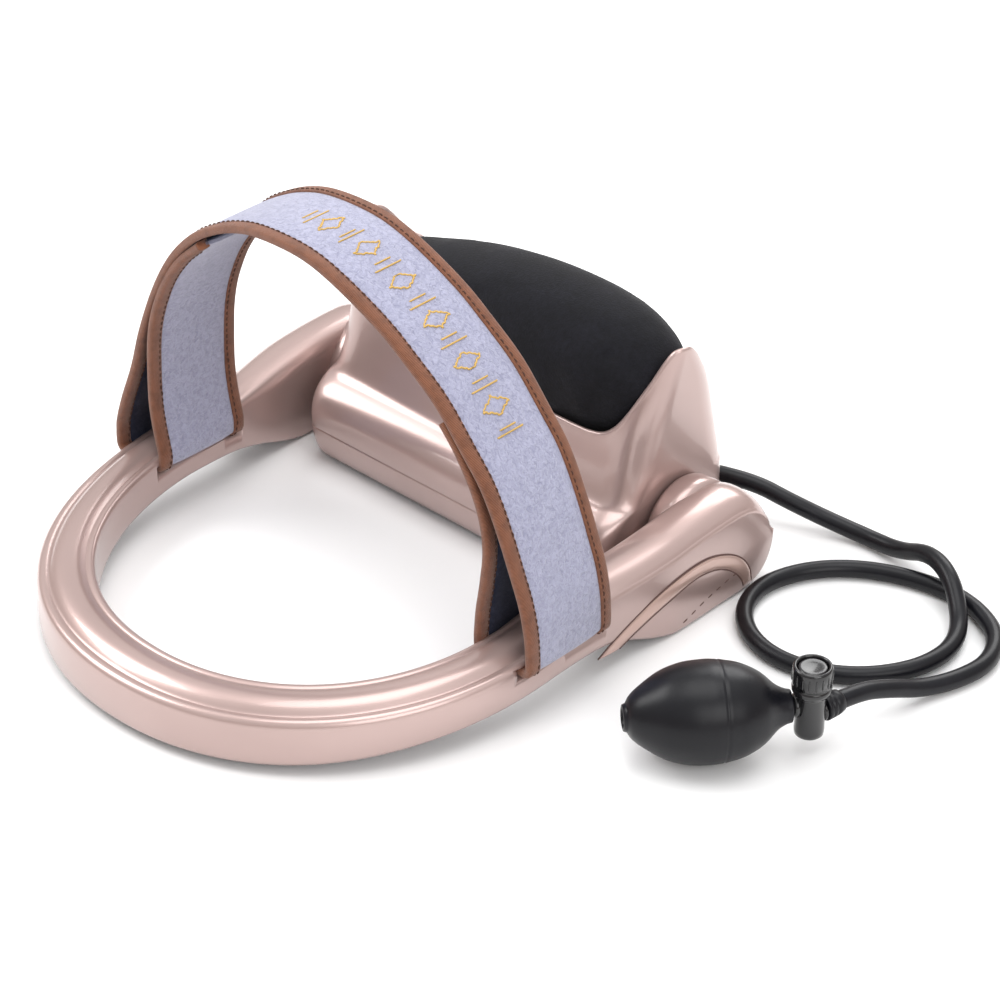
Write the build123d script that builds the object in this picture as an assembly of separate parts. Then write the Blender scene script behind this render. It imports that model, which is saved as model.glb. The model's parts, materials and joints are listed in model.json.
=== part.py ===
"""Cervical traction device: neck-rest base with an air-lifted pillow, a hinged traction ring,
a padded forehead band and a hand pump on a rubber hose."""
from build123d import *
from math import atan2, cos, degrees, pi, radians, sin, tan
import os

os.makedirs("parts", exist_ok=True)

# ---- driving dimensions, mm.  +X to the wearer's side, -Y towards the ring front, +Z up ----
ring_width = 231.0          # over the outside of both arms
ring_front_y = -131.0       # foremost point of the ring
base_rear_y = 131.0         # rearmost point of the neck-rest base
arm_thickness = 21.6        # arm wall to wall, measured across
ring_neck = 2.3             # the ring is this much narrower than the hubs, each side
ring_bottom_z = 7.0         # the ring floats above the table on the hubs
ring_top_z = 27.5
shoulder_drop = 2.7         # outer rim stands lower than the crown of the ring
shoulder_width = 5.2
wall = 2.4                  # moulded shell wall
pivot_y = 97.0              # hub axis
pivot_z = 22.5
hub_radius = 22.0
base_width = 168.0
nose_front_y = 51.0
shelf_z = 37.0
saddle_z = 62.0             # low middle of the saddle rim
horn_z = 101.0              # top of the two horns
horn_splay = 2.5            # how much wider the horns stand than the base
pillow_top_z = 113.0
pillow_lift = 25.0          # travel of the inflated pillow
axle_radius = 8.0
running_gap = 0.05
band_width = 45.0
band_mid_y = -0.5
band_top_z = 158.5
plush_thick = 1.8
lining_thick = 0.7
binding_lip = 0.3
binding_width = 4.5
slot_z = 19.0               # middle height of the strap slots
hose_radius = 3.6
bulb_length = 60.0
bulb_radius = 19.5
bulb_mid = (173.0, 11.0, 20.0)

# ---- sizes that follow from them ----
arm_out = ring_width / 2
arm_in = arm_out - arm_thickness
ring_out = arm_out - ring_neck
ring_in = arm_in - ring_neck
ring_y = ring_front_y + 0.512 * ring_width      # centre line of the ring's half ellipse
ring_depth = ring_y - ring_front_y
ring_in_depth = ring_depth - 23.6
base_half = base_width / 2
base_mid_y = (nose_front_y + 17 + base_rear_y) / 2 - 1.5
band_thick = plush_thick + lining_thick + 2 * binding_lip
foot_out = ring_out + 0.3                       # where the band meets the arm's outer wall
foot_in = ring_in - 0.5                         # and its inner wall
hub_in = base_half + 4.0                        # inner face of the hub boss
sides = {"left": -1, "right": 1}


def save(node, shape):
    """One STEP file per named piece."""
    shape.label = node
    export_step(shape, f"parts/{node}.step")


def box(x0, x1, y0, y1, z0, z1):
    mid = ((x0 + x1) / 2, (y0 + y1) / 2, (z0 + z1) / 2)
    return Pos(*mid) * Box(x1 - x0, y1 - y0, z1 - z0)


def tube_x(x0, x1, radius, y=pivot_y, z=pivot_z):
    """Solid cylinder along X between two x values."""
    return Pos((x0 + x1) / 2, y, z) * Rot(0, 90, 0) * Cylinder(radius, abs(x1 - x0))


def peg(x, y, z0, z1, radius):
    return Pos(x, y, (z0 + z1) / 2) * Cylinder(radius, z1 - z0)


# ---------------------------------------------------------------- traction ring and arms
def flared_plan(near, far, depth, rear):
    """Half ellipse in front, near wide, that flares to far wide at the hubs."""
    y0 = pivot_y - 67
    y1 = pivot_y - 37
    with BuildSketch() as sketch:
        with BuildLine():
            Line((near, ring_y), (near, y0))
            Spline((near, y0), (far, y1), tangents=((0, 1), (0, 1)))
            Polyline((far, y1), (far, rear), (0, rear), (0, ring_y), (near, ring_y))
        make_face()
        mirror(about=Plane.YZ)
    return Pos(0, ring_y) * Ellipse(near, depth) + sketch.sketch


def ring_plan(inset, shoulder=0.0):
    """U-shaped plan of the ring with both arms, every wall moved in by inset."""
    rear = pivot_y + hub_radius + 1 - inset
    out = inset + shoulder
    outer = flared_plan(ring_out - out, arm_out - out, ring_depth - out, rear)
    inner = flared_plan(ring_in + inset, arm_in + inset, ring_in_depth + inset, rear + 20)
    return outer - inner


def arm_top(drop):
    """Points of the arm's top line from the hub forward to the ring."""
    rise = ((-10, 44.4), (-25, 43.4), (-45, 41.0), (-70, 37.0), (-95, 30.6), (-110, 27.9))
    return [(pivot_y + dy, z - drop) for dy, z in rise] + [(ring_y, ring_top_z - drop)]


def arm_profile(inset, shoulder=0.0):
    """Side view of ring, arm and hub with every wall moved in by inset and the top lowered."""
    r = hub_radius - inset
    top = ring_top_z - inset - shoulder
    low = ring_bottom_z + inset
    heel = pivot_z - r
    front = ring_front_y - 5
    top_end = (pivot_y + (r - shoulder) * cos(radians(105)), pivot_z + (r - shoulder) * sin(radians(105)))
    rise = [p for p in arm_top(inset + shoulder) if p[0] < top_end[0] - 4]
    with BuildSketch(Plane.YZ) as sketch:
        with BuildLine():
            Polyline((front, top), (front, low), (pivot_y - 65, low),
                     (pivot_y - 41, heel), (pivot_y, heel))
            ThreePointArc((pivot_y, heel), (pivot_y + r, pivot_z), top_end)
            Spline(top_end, *rise)
            Line((ring_y, top), (front, top))
        make_face()
    return extrude(sketch.sketch, 150, both=True)


def frame_block(inset, open_below=False):
    """Ring and arms inset by a wall; optionally open underneath, forward of the hub axis."""
    side = arm_profile(inset, shoulder_drop)
    if open_below:
        side += Pos(0, 0, -8) * side & box(-150, 150, -200, pivot_y - 1, -20, 60)
    low = extrude(Pos(0, 0, -20) * ring_plan(inset), 90) & side
    crown = extrude(Pos(0, 0, -20) * ring_plan(inset, shoulder_width), 90) & arm_profile(inset)
    return low + crown


def strap_slot(side):
    y0 = band_mid_y - band_width / 2 - 1.5
    y1 = band_mid_y + band_width / 2 + 1.5
    z0 = slot_z - band_thick / 2 - 0.6
    z1 = slot_z + band_thick / 2 + 0.6
    return box(*sorted((side * (ring_in - 4), side * (ring_out + 4))), y0, y1, z0, z1)


def frame_shell():
    body = frame_block(0.0) - frame_block(wall, open_below=True)
    for s in sides.values():
        body += tube_x(s * (arm_out - wall - 0.2), s * (arm_in - 0.5), 13.4) & frame_block(0.6)
        body += tube_x(s * (arm_in + 1), s * hub_in, hub_radius - 3)
        body -= tube_x(s * (hub_in - 1), s * (arm_out - wall - 3), 11.0)
        body -= strap_slot(s)
    posts = [peg(x, y, ring_bottom_z + 2.1, 60, 2.9) for x, y in frame_screw_spots()]
    body += [post & frame_block(0.8) for post in posts]
    return body - [peg(x, y, 0, ring_bottom_z + 7, 1.2) for x, y in frame_screw_spots()]


def frame_cover():
    """Thin plate that closes the underside of the ring and arms."""
    plate = frame_block(wall + 0.15, open_below=True) & underside_slab()
    for s in sides.values():
        plate -= tube_x(s * (arm_out + 1), s * (arm_in - 8), hub_radius - 5.5)
    for x, y in frame_screw_spots():
        plate -= peg(x, y, -5, 60, 1.3)
    return plate


def underside_slab():
    """Slab 1.8 mm thick that follows the underside line."""
    low = ring_bottom_z
    heel = pivot_z - hub_radius
    with BuildSketch(Plane.YZ) as sketch:
        with BuildLine():
            Polyline((ring_front_y - 5, low + 0.2), (pivot_y - 65, low + 0.2), (pivot_y - 41, heel + 0.4),
                     (pivot_y - 1, heel + 0.4), (pivot_y - 1, heel + 2.2), (pivot_y - 40.2, heel + 2.2),
                     (pivot_y - 64.2, low + 2.0), (ring_front_y - 5, low + 2.0), close=True)
        make_face()
    return extrude(sketch.sketch, 150, both=True)


def screw(x, y, z):
    """Pan-head screw looking down: head below, shank above."""
    head = peg(x, y, z - 1.4, z, 2.6)
    slot = box(x - 2.8, x + 2.8, y - 0.4, y + 0.4, z - 1.6, z - 0.9)
    return head + peg(x, y, z - 0.2, z + 5.5, 1.2) - slot


def frame_screw_spots():
    mid_x = (ring_out + ring_in) / 2
    spots = [(s * mid_x, ring_y + 41) for s in sides.values()]
    for turn in (-72, -36, 0, 36, 72):
        a = radians(turn - 90)
        spots.append(((mid_x - 0.8) * cos(a), ring_y + (ring_depth - 11.8) * sin(a)))
    return spots


# ---------------------------------------------------------------- neck-rest base
def base_section(z, half_x, y0, y1, corner):
    sketch = RectangleRounded(2 * half_x, y1 - y0, corner)
    return Pos(0, (y0 + y1) / 2, z) * sketch


def base_levels(inset):
    """Half width, front and rear of the tapering upper body at each height."""
    levels = ((20, 0, nose_front_y + 9, base_rear_y, 14),
              (shelf_z, 0, nose_front_y + 14, base_rear_y - 0.5, 20),
              (saddle_z, 0.8, nose_front_y + 21, base_rear_y - 5, 24),
              (saddle_z + 22, 1.6, nose_front_y + 32, base_rear_y - 15, 15),
              (horn_z + 8, horn_splay, nose_front_y + 42, base_rear_y - 25, 5.6))
    out = []
    for z, grow, y0, y1, r in levels:
        out.append((z, base_half + grow - inset, y0 + inset, y1 - inset, max(r - inset, 1.0)))
    return out


def upper_body(inset):
    faces = [base_section(*level) for level in base_levels(inset)]
    return loft(faces)


def nose(inset):
    """Rounded front and the straight lower walls."""
    z0, z1 = 3.0 - inset, shelf_z - inset
    y0 = nose_front_y + inset
    y1 = base_rear_y - inset
    with BuildSketch(Plane.YZ) as sketch:
        with BuildLine():
            Polyline((y0 + 17, z1), (y1, z1), (y1, z0), (y0 + 4, z0), (y0 + 1.2, 12))
            Spline((y0 + 1.2, 12), (y0, 20), (y0 + 2.5, 28), (y0 + 8.5, 34.5 - inset), (y0 + 17, z1))
        make_face()
    block = extrude(sketch.sketch, base_half - inset, both=True)
    keep = base_section(0, base_half - inset, y0 - 2, y1, 12 - inset)
    return block & extrude(keep, shelf_z + 2)


def saddle_cut(drop):
    """Everything above the saddle line: a flat low middle and two steep horns."""
    s = base_half / 84.0
    up = horn_z - saddle_z
    line = [(0, 0), (30, 0), (55, 0), (66, 0.04), (73, 0.2), (77.5, 0.46), (80.5, 0.74), (84, 0.95),
            (87.5, 1.0)]
    half = [(s * x, saddle_z + up * k - drop) for x, k in line]
    left = [(-x, z) for x, z in reversed(half)]
    with BuildSketch(Plane.XZ) as sketch:
        with BuildLine():
            Spline(*left[:-1], *half)
            Polyline(half[-1], (130, half[-1][1] - 3), (130, 160), (-130, 160),
                     (-130, half[-1][1] - 3), left[0])
        make_face()
    return extrude(sketch.sketch, 200, both=True)


def base_solid(inset):
    return (upper_body(inset) + nose(inset))


def base_shell():
    body = base_solid(0.0) - saddle_cut(0.0)
    body -= base_solid(wall)
    body -= box(-200, 200, -200, 300, -10, 4.6)
    for s in sides.values():
        body -= tube_x(s * (base_half - 6), s * (base_half + 8), axle_radius)
    body -= Pos(fitting_x, base_rear_y, fitting_z) * Rot(90, 0, 0) * Cylinder(4.0, 12)
    return body


fitting_x = 62.0
fitting_z = 18.0
foot_spots = [(x, y) for x in (-62, 62) for y in (nose_front_y + 17, base_rear_y - 15)]
sleeve_spots = [(-42.0, base_mid_y), (42.0, base_mid_y)]
sleeve_radius = 4.0
plate_z = 46.0
bladder_z = 12.0


def base_tray():
    """Floor plate with foot recesses, a bladder deck and bosses for the guide sleeves."""
    plate = extrude(base_section(2.2, base_half - 0.3, nose_front_y + 5, base_rear_y - 0.3, 12), 2.2)
    rim = extrude(base_section(4.4, base_half - wall - 0.3, nose_front_y + 8, base_rear_y - 3, 9), 4)
    rim -= extrude(base_section(4.0, base_half - wall - 2.3, nose_front_y + 10, base_rear_y - 5, 7), 6)
    deck = box(-30, 30, base_mid_y - 22, base_mid_y + 22, 4.2, bladder_z - 0.2)
    deck -= box(-27, 27, base_mid_y - 19, base_mid_y + 19, 4.2, bladder_z - 2.4)
    tray = plate + rim + deck
    for x, y in sleeve_spots:
        tray += peg(x, y, 4.2, 12, 8.5) - peg(x, y, 5.6, 13, 6.2)
    for x, y in foot_spots:
        tray -= peg(x, y, 1.5, 3.2, 7.2)
        tray -= peg(x, y, 1.5, 6.0, 1.3)
    return tray


def rubber_feet():
    feet = [peg(x, y, 0.0, 3.2, 7.0) - peg(x, y, -0.2, 1.7, 3.2) - peg(x, y, 1.0, 4, 1.3)
            for x, y in foot_spots]
    return Compound(feet)


def tray_screws():
    return Compound([screw(x, y, 1.7) for x, y in foot_spots])


def guide_sleeves():
    tubes = [peg(x, y, 5.6, plate_z - 5, 6.2) - peg(x, y, 5.0, plate_z, sleeve_radius + running_gap)
             for x, y in sleeve_spots]
    return Compound(tubes)


def hub_axle(s):
    """Flange inside the base wall and a plain shaft out through the hub."""
    wall_in = base_half - wall
    axle = tube_x(s * (wall_in - 3.2), s * (wall_in - 0.2), 14)
    axle += tube_x(s * (wall_in - 1), s * (hub_in + 17), axle_radius)
    return axle - tube_x(s * (hub_in + 8), s * (hub_in + 18), 1.8)


def axle_clip(s):
    """Washer and screw that hold the hub on the shaft."""
    x = hub_in + 17
    disc = tube_x(s * x, s * (x + 1.2), 10.4)
    head = tube_x(s * (x + 1.2), s * (x + 3.0), 3.4)
    return disc + head + tube_x(s * (x + 1), s * (x - 7), 1.8)


def friction_washer(s):
    x0, x1 = base_half, hub_in
    ring = tube_x(s * (x0 + 0.15), s * (x1 - 0.15), 15.5)
    return ring - tube_x(s * (x0 - 1), s * (x1 + 1), axle_radius)


def hub_bush(s):
    tube = tube_x(s * hub_in, s * (hub_in + 16.7), 11.0)
    return tube - tube_x(s * (hub_in - 1), s * (hub_in + 18), axle_radius + running_gap)


def arm_trim(s):
    """Arch-shaped inlay on the outer face of each hub."""
    with BuildSketch(Plane.YZ) as sketch:
        with BuildLine():
            Spline((-78, -11), (-58, 0), (-33, 4.6), (-12, 3.8), (2, -3), (11, -14))
            Line((11, -14), (5, -17))
            Spline((5, -17), (-4, -8.5), (-15, -3), (-33, -2.6), (-53, -8.4), (-66, -12))
            Line((-66, -12), (-78, -11))
        make_face()
    prism = Pos(s * (arm_out - 8), pivot_y, pivot_z) * extrude(sketch.sketch, s * 12)
    faces = [flared_plan(ring_out + rise, arm_out + rise, ring_depth + rise, pivot_y + 40) for rise in (1.0, 0.0)]
    return prism & extrude(Pos(0, 0, -5) * (faces[0] - faces[1]), 60)


# ---------------------------------------------------------------- pillow and its lift
def pillow_form(inset):
    """Soft dome, widest in the middle, tapering between the horns."""
    tall = pillow_top_z - 80
    wide = base_half / 84.0
    rows = ((-79, 8.4, 9.5, 85), (-66, 18.5, 22, 81), (-42, 25.5, 29.5, 80), (0, 27.5, 33, 80),
            (42, 25.5, 29.5, 80), (66, 18.5, 22, 81), (79, 8.4, 9.5, 85))
    faces = []
    for x, depth, height, z in rows:
        high = height * tall / 33.0
        x -= inset * (1 if x > 70 else -1 if x < -70 else 0)
        plane = Plane(origin=(x * wide, base_mid_y, z), x_dir=(0, 1, 0), z_dir=(1, 0, 0))
        faces.append(plane * Ellipse(depth - inset, high - inset))
    dome = loft(faces)
    return dome - box(-200, 200, -200, 300, 0, plate_z + 6.2 + inset)


def pillow_plate():
    """Lift plate with two guide pins."""
    plate = extrude(base_section(plate_z, 64, base_mid_y - 17, base_mid_y + 17, 10), 6)
    well = extrude(base_section(plate_z + 2.6, 61, base_mid_y - 14, base_mid_y + 14, 8), 4)
    plate -= well
    for x, y in sleeve_spots:
        plate += peg(x, y, 7.0, plate_z + 1, sleeve_radius)
    return plate


def air_bladder():
    bag = extrude(base_section(bladder_z, 29, base_mid_y - 20, base_mid_y + 20, 9), plate_z - bladder_z - 0.2)
    return bag - extrude(base_section(bladder_z + 1.2, 27.8, base_mid_y - 18.8, base_mid_y + 18.8, 8),
                         plate_z - bladder_z - 2.6)


# ---------------------------------------------------------------- padded band
def band_arch():
    """Outer surface of the arch, from the right arm over the top to the left one."""
    w = foot_out + band_thick
    h = band_top_z - 35.0
    right = [(1.0, 0.0), (0.966, 0.16), (0.905, 0.31), (0.837, 0.445), (0.752, 0.56), (0.624, 0.687),
             (0.427, 0.842), (0.214, 0.958)]
    pts = [(w * x, 35.0 + h * z) for x, z in right]
    return pts + [(0, band_top_z)] + [(-x, z) for x, z in reversed(pts)]


def offset_points(curve, count, a, b, depth):
    """Points along a curve moved inwards, towards the wearer, by depth."""
    out = []
    for i in range(count + 1):
        t = a + (b - a) * i / count
        at = curve.position_at(t)
        tan_dir = curve.tangent_at(t)
        out.append((at.X + tan_dir.Y * -depth, at.Y + tan_dir.X * depth))
    return out


def strip(near, far):
    """Flat outline between two rows of points."""
    with BuildSketch(Plane.XY) as sketch:
        with BuildLine():
            Spline(*near)
            Line(near[-1], far[-1])
            Spline(*reversed(far))
            Line(far[0], near[0])
        make_face()
    return sketch.sketch


def arch_curve():
    return Spline(*band_arch(), tangents=((-0.03, 1), (-0.03, -1)))


def tail_mid():
    """Middle of the turned-up end: up from the slot, then close under the arch."""
    curve = arch_curve()
    under = offset_points(curve, 3, tail_from, tail_to, band_thick + 1.4 + band_thick / 2)
    foot = foot_in - band_thick / 2
    return [(foot, slot_z + 4.5), (foot - 0.3, slot_z + 30), (foot - 1.4, slot_z + 55)] + under


tail_from = 0.235
tail_to = 0.33


def band_outline(d0, d1):
    """Section of one layer between two depths below the band's outer face."""
    curve = arch_curve()
    shape = strip(offset_points(curve, 24, 0, 1, d0), offset_points(curve, 24, 0, 1, d1))
    low = slot_z - band_thick / 2
    for s in (1, -1):
        xs = sorted((s * (foot_out + band_thick - d1), s * (foot_out + band_thick - d0)))
        shape += Pos(sum(xs) / 2, (low + d0 + 35.2) / 2) * Rectangle(xs[1] - xs[0], 35.2 - low - d0)
        ends = sorted((s * (foot_out + band_thick - d0), s * (foot_in - band_thick + d0)))
        shape += Pos(sum(ends) / 2, low + (d0 + d1) / 2) * Rectangle(ends[1] - ends[0], d1 - d0)
        xs = sorted((s * (foot_in - band_thick + d0), s * (foot_in - band_thick + d1)))
        shape += Pos(sum(xs) / 2, (low + d0 + slot_z + 4.6) / 2) * Rectangle(xs[1] - xs[0], slot_z + 4.6 - low - d0)
        heading = curve.tangent_at(tail_to)
        mid = Spline(*tail_mid(), tangents=((0, 1), (heading.X, heading.Y)))
        a = offset_points(mid, 10, 0, 1, band_thick / 2 - d0)
        b = offset_points(mid, 10, 0, 1, band_thick / 2 - d1)
        tail = strip([(s * x, z) for x, z in a], [(s * x, z) for x, z in b])
        shape += tail
    return shape


def band_layer(d0, d1, y0, y1):
    flat = band_outline(d0, d1)
    return Pos(0, y1, 0) * Rot(90, 0, 0) * extrude(flat, y1 - y0)


def band_pieces():
    y0 = band_mid_y - band_width / 2
    y1 = band_mid_y + band_width / 2
    a, b = y0 + binding_width, y1 - binding_width
    lip = binding_lip
    save("band_plush", band_layer(lip, lip + plush_thick, a, b))
    save("band_lining", band_layer(lip + plush_thick, lip + plush_thick + lining_thick, a, b))
    save("band_binding_front", band_layer(0, band_thick, y0, a))
    save("band_binding_rear", band_layer(0, band_thick, b, y1))
    curve = arch_curve()
    hooks = []
    for s in (1, -1):
        near = offset_points(curve, 6, tail_from + 0.02, tail_to - 0.01, band_thick - lip + 0.1)
        far = offset_points(curve, 6, tail_from + 0.02, tail_to - 0.01, band_thick + 1.3)
        flat = strip([(s * x, z) for x, z in near], [(s * x, z) for x, z in far])
        hooks.append(Pos(0, b - 2, 0) * Rot(90, 0, 0) * extrude(flat, b - a - 4))
    save("band_hook_patches", Compound(hooks))


# ---------------------------------------------------------------- hand pump and hose
bulb_dir = Vector(0.64, 0.768, 0).normalized()
valve_at = Vector(*bulb_mid) + bulb_dir * (bulb_length / 2 + 9.0)
port_dir = Vector(0.18, 0.984, 0).normalized()


def along(origin, direction):
    """Plane whose local Z runs along a level direction."""
    return Plane(origin=origin, x_dir=(0, 0, -1), z_dir=direction)


def rod(start, direction, length, radius):
    return along(start, direction) * Pos(0, 0, length / 2) * Cylinder(radius, length)


def bulb_body(inset):
    """Egg-shaped body of revolution about its own long axis."""
    half = bulb_length / 2 - inset
    r = bulb_radius - inset
    with BuildSketch(Plane.XZ) as sketch:
        with BuildLine():
            Spline((0, -half), (r * 0.62, -half * 0.8), (r * 0.97, -half * 0.28), (r * 0.99, half * 0.15),
                   (r * 0.72, half * 0.68), (0, half), tangents=((1, 0), (-1, 0.3)))
            Line((0, half), (0, -half))
        make_face()
    return along(Vector(*bulb_mid), bulb_dir) * revolve(sketch.sketch, Axis.Z)


def squeeze_bulb():
    low_end = Vector(*bulb_mid) - bulb_dir * (bulb_length / 2)
    high_end = Vector(*bulb_mid) + bulb_dir * (bulb_length / 2)
    body = bulb_body(0.0) + rod(high_end - bulb_dir * 6, bulb_dir, 7.6, 6.2)
    body -= bulb_body(2.4)
    body -= rod(low_end - bulb_dir, bulb_dir, 8, 4.2)
    return body - rod(high_end - bulb_dir * 9, bulb_dir, 12, 4.0)


def inlet_housing():
    """Air inlet with a seat for the check ball."""
    end = Vector(*bulb_mid) - bulb_dir * (bulb_length / 2 + 0.6)
    body = rod(end, bulb_dir, 9, 4.2) + rod(end, bulb_dir, 0.8, 5.6)
    body -= rod(end - bulb_dir, bulb_dir, 4, 1.2)
    return body - rod(end + bulb_dir * 2.4, bulb_dir, 8, 2.7)


def inlet_ball():
    end = Vector(*bulb_mid) - bulb_dir * (bulb_length / 2 + 0.6)
    return Pos(*(end + bulb_dir * 5.0)) * Sphere(2.4)


def valve_body():
    """Upright barrel with an inlet spigot, a hose spigot and a collar for the button."""
    x, y = valve_at.X, valve_at.Y
    body = peg(x, y, 7.5, 28, 5.6) + peg(x, y, 27, 38, 7.4)
    inlet = Vector(x, y, bulb_mid[2])
    body += rod(inlet, bulb_dir * -1, 13.2, 4.0)
    body += rod(Vector(x, y, 15.5), port_dir, 13, 2.4)
    body -= peg(x, y, 30, 39, 5.8)
    body -= peg(x, y, 12, 31, 2.0)
    body -= rod(inlet, bulb_dir * -1, 14, 1.6)
    return body - rod(Vector(x, y, 15.5), port_dir, 14, 1.3)


def release_button():
    x, y = valve_at.X, valve_at.Y
    return peg(x, y, 34.6, 37.4, 5.5) + peg(x, y, 22.5, 35, 1.6)


def button_spring():
    x, y = valve_at.X, valve_at.Y
    coil = Helix(1.0, 3.8, 3.4)
    wire = sweep(Plane(origin=coil @ 0, z_dir=coil % 0) * Circle(0.35), path=coil)
    return Pos(x, y, 30.35) * wire


def hose_sleeve():
    start = Vector(valve_at.X, valve_at.Y, 15.5) + port_dir * 6.0
    return rod(start, port_dir, 8.5, hose_radius + 1.5) - rod(start - port_dir, port_dir, 10, hose_radius)


def hose_points():
    """Middle line of the hose: from the valve, twice round on the table, then into the base."""
    v = Vector(valve_at.X, valve_at.Y, 15.5)
    rest = hose_radius + 0.3
    start = v + port_dir * 7.2
    first = start + port_dir * 16
    last = Vector(*fitting_end()) + fitting_out() * 15
    loose = [(206.0, 78.5, 11.0), (210.5, 93.5, rest + 1.0), (216.5, 109.0, rest),
             (219.0, 125.5, rest), (212.0, 141.0, rest), (198.0, 150.5, rest), (181.5, 154.0, rest),
             (165.0, 151.5, rest), (149.5, 145.5, rest), (136.0, 135.5, rest), (126.5, 121.5, rest),
             (122.5, 105.0, rest), (127.0, 89.0, rest), (138.5, 77.5, rest), (154.0, 72.0, rest),
             (170.5, 74.0, rest), (185.0, 82.0, rest), (196.0, 94.5, rest), (202.5, 109.5, rest),
             (202.5, 126.0, rest), (194.5, 140.5, rest + 1.5), (181.5, 150.5, rest + 10.6),
             (166.0, 157.5, rest + 10.6), (149.5, 161.0, rest + 1.5), (132.5, 162.0, rest),
             (116.0, 158.0, rest + 2.5), (100.5, 150.0, rest + 9.0)]
    return [start, first] + [Vector(*p) for p in loose] + [last, Vector(*fitting_end())]


def fitting_end():
    return Vector(fitting_x, base_rear_y + 5.5, fitting_z) + fitting_out() * 10


def fitting_out():
    """The way the elbow's spigot points."""
    return Vector(0.94, 0.34, 0).normalized()


def hose_line(points):
    """Straight runs joined by tangent arcs, each as wide as its shorter run allows."""
    radii = []
    for a, b, c in zip(points, points[1:], points[2:]):
        run = min((b - a).length, (c - b).length)
        turn = radians((b - a).get_angle(c - b))
        radii.append(0.45 * run / tan(turn / 2))
    return FilletPolyline(*points, radius=radii), radii


def air_hose():
    line, radii = hose_line(hose_points())
    start = Plane(origin=line @ 0, z_dir=line % 0)
    ring = start * (Circle(hose_radius) - Circle(hose_radius - 1.0))
    tube = sweep(ring, path=line)
    area = pi * (hose_radius ** 2 - (hose_radius - 1.0) ** 2)
    print("hose bend radii, mm:", sorted(round(r, 1) for r in radii)[:8], "...")
    print("hose length, mm:", round(line.length, 1), "volume / (section x length):",
          round(tube.volume / (area * line.length), 4))
    return tube


def hose_fitting():
    """Elbow on the rear wall that turns the hose towards the near side."""
    x, y, z = fitting_x, base_rear_y, fitting_z
    knee = Vector(x, y + 5.5, z)
    out = fitting_out()
    body = Pos(x, y - 1.0, z) * Rot(90, 0, 0) * Cylinder(3.9, 9.0)
    body += Pos(x, y + 1.4, z) * Rot(90, 0, 0) * Cylinder(6.4, 2.4)
    body += Pos(x, y + 5.5, z) * Box(8.6, 8.6, 8.6)
    body += rod(knee + out * 3, out, 3.8, 4.0) + rod(knee + out * 5, out, 8.5, hose_radius - 1.1)
    body -= Pos(x, y, z) * Rot(90, 0, 0) * Cylinder(1.6, 14)
    return body - rod(knee, out, 16, 1.3)


def inner_air_line():
    """Short tube inside the base from the fitting to the bladder."""
    pts = [Vector(fitting_x, base_rear_y - 6.2, fitting_z), Vector(fitting_x - 2, base_rear_y - 10.5, fitting_z),
           Vector(fitting_x - 14, base_rear_y - 15, fitting_z), Vector(30.2, base_rear_y - 18.5, fitting_z)]
    line = FilletPolyline(*pts, radius=[4, 8])
    return sweep(Plane(origin=line @ 0, z_dir=line % 0) * (Circle(2.2) - Circle(1.2)), path=line)


# ---------------------------------------------------------------- write every piece
save("traction_frame_shell", frame_shell())
save("traction_frame_cover", frame_cover())
save("frame_screws", Compound([screw(x, y, ring_bottom_z + 0.2) for x, y in frame_screw_spots()]))
save("base_upper_shell", base_shell())
save("base_tray", base_tray())
save("rubber_feet", rubber_feet())
save("tray_screws", tray_screws())
save("guide_sleeves", guide_sleeves())
for name, side in sides.items():
    save(f"hub_axle_{name}", hub_axle(side))
    save(f"axle_clip_{name}", axle_clip(side))
    save(f"friction_washer_{name}", friction_washer(side))
    save(f"hub_bush_{name}", hub_bush(side))
    save(f"arm_trim_{name}", arm_trim(side))
save("pillow_plate", pillow_plate())
save("pillow_foam", pillow_form(1.2))
save("pillow_cover", pillow_form(0.0) - pillow_form(1.2))
save("air_bladder", air_bladder())
band_pieces()
save("squeeze_bulb", squeeze_bulb())
save("inlet_housing", inlet_housing())
save("inlet_ball", inlet_ball())
save("valve_body", valve_body())
save("release_button", release_button())
save("button_spring", button_spring())
save("hose_sleeve", hose_sleeve())
save("air_hose", air_hose())
save("hose_fitting", hose_fitting())
save("inner_air_line", inner_air_line())
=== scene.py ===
# Cervical traction device: champagne ring and base, black pillow, lavender band, rubber pump
import bpy
import bmesh
import json
import math
import numpy as np
from mathutils import Matrix, Vector


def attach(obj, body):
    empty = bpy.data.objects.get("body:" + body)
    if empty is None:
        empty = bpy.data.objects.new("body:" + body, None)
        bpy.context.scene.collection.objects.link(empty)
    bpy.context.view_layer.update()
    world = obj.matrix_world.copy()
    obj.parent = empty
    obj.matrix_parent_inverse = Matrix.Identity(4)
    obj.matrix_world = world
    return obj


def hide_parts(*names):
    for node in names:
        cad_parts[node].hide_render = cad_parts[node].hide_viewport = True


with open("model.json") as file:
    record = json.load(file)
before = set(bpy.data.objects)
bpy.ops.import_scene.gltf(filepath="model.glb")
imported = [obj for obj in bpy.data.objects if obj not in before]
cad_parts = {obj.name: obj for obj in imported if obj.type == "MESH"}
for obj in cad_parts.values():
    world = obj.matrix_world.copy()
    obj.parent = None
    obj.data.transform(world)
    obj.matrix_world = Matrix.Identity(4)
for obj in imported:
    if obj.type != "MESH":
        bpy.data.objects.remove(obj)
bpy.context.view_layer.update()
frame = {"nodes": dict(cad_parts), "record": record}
mm = 0.001
scene = bpy.context.scene
print("frame loaded:", len(frame["nodes"]), "pieces")

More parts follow.
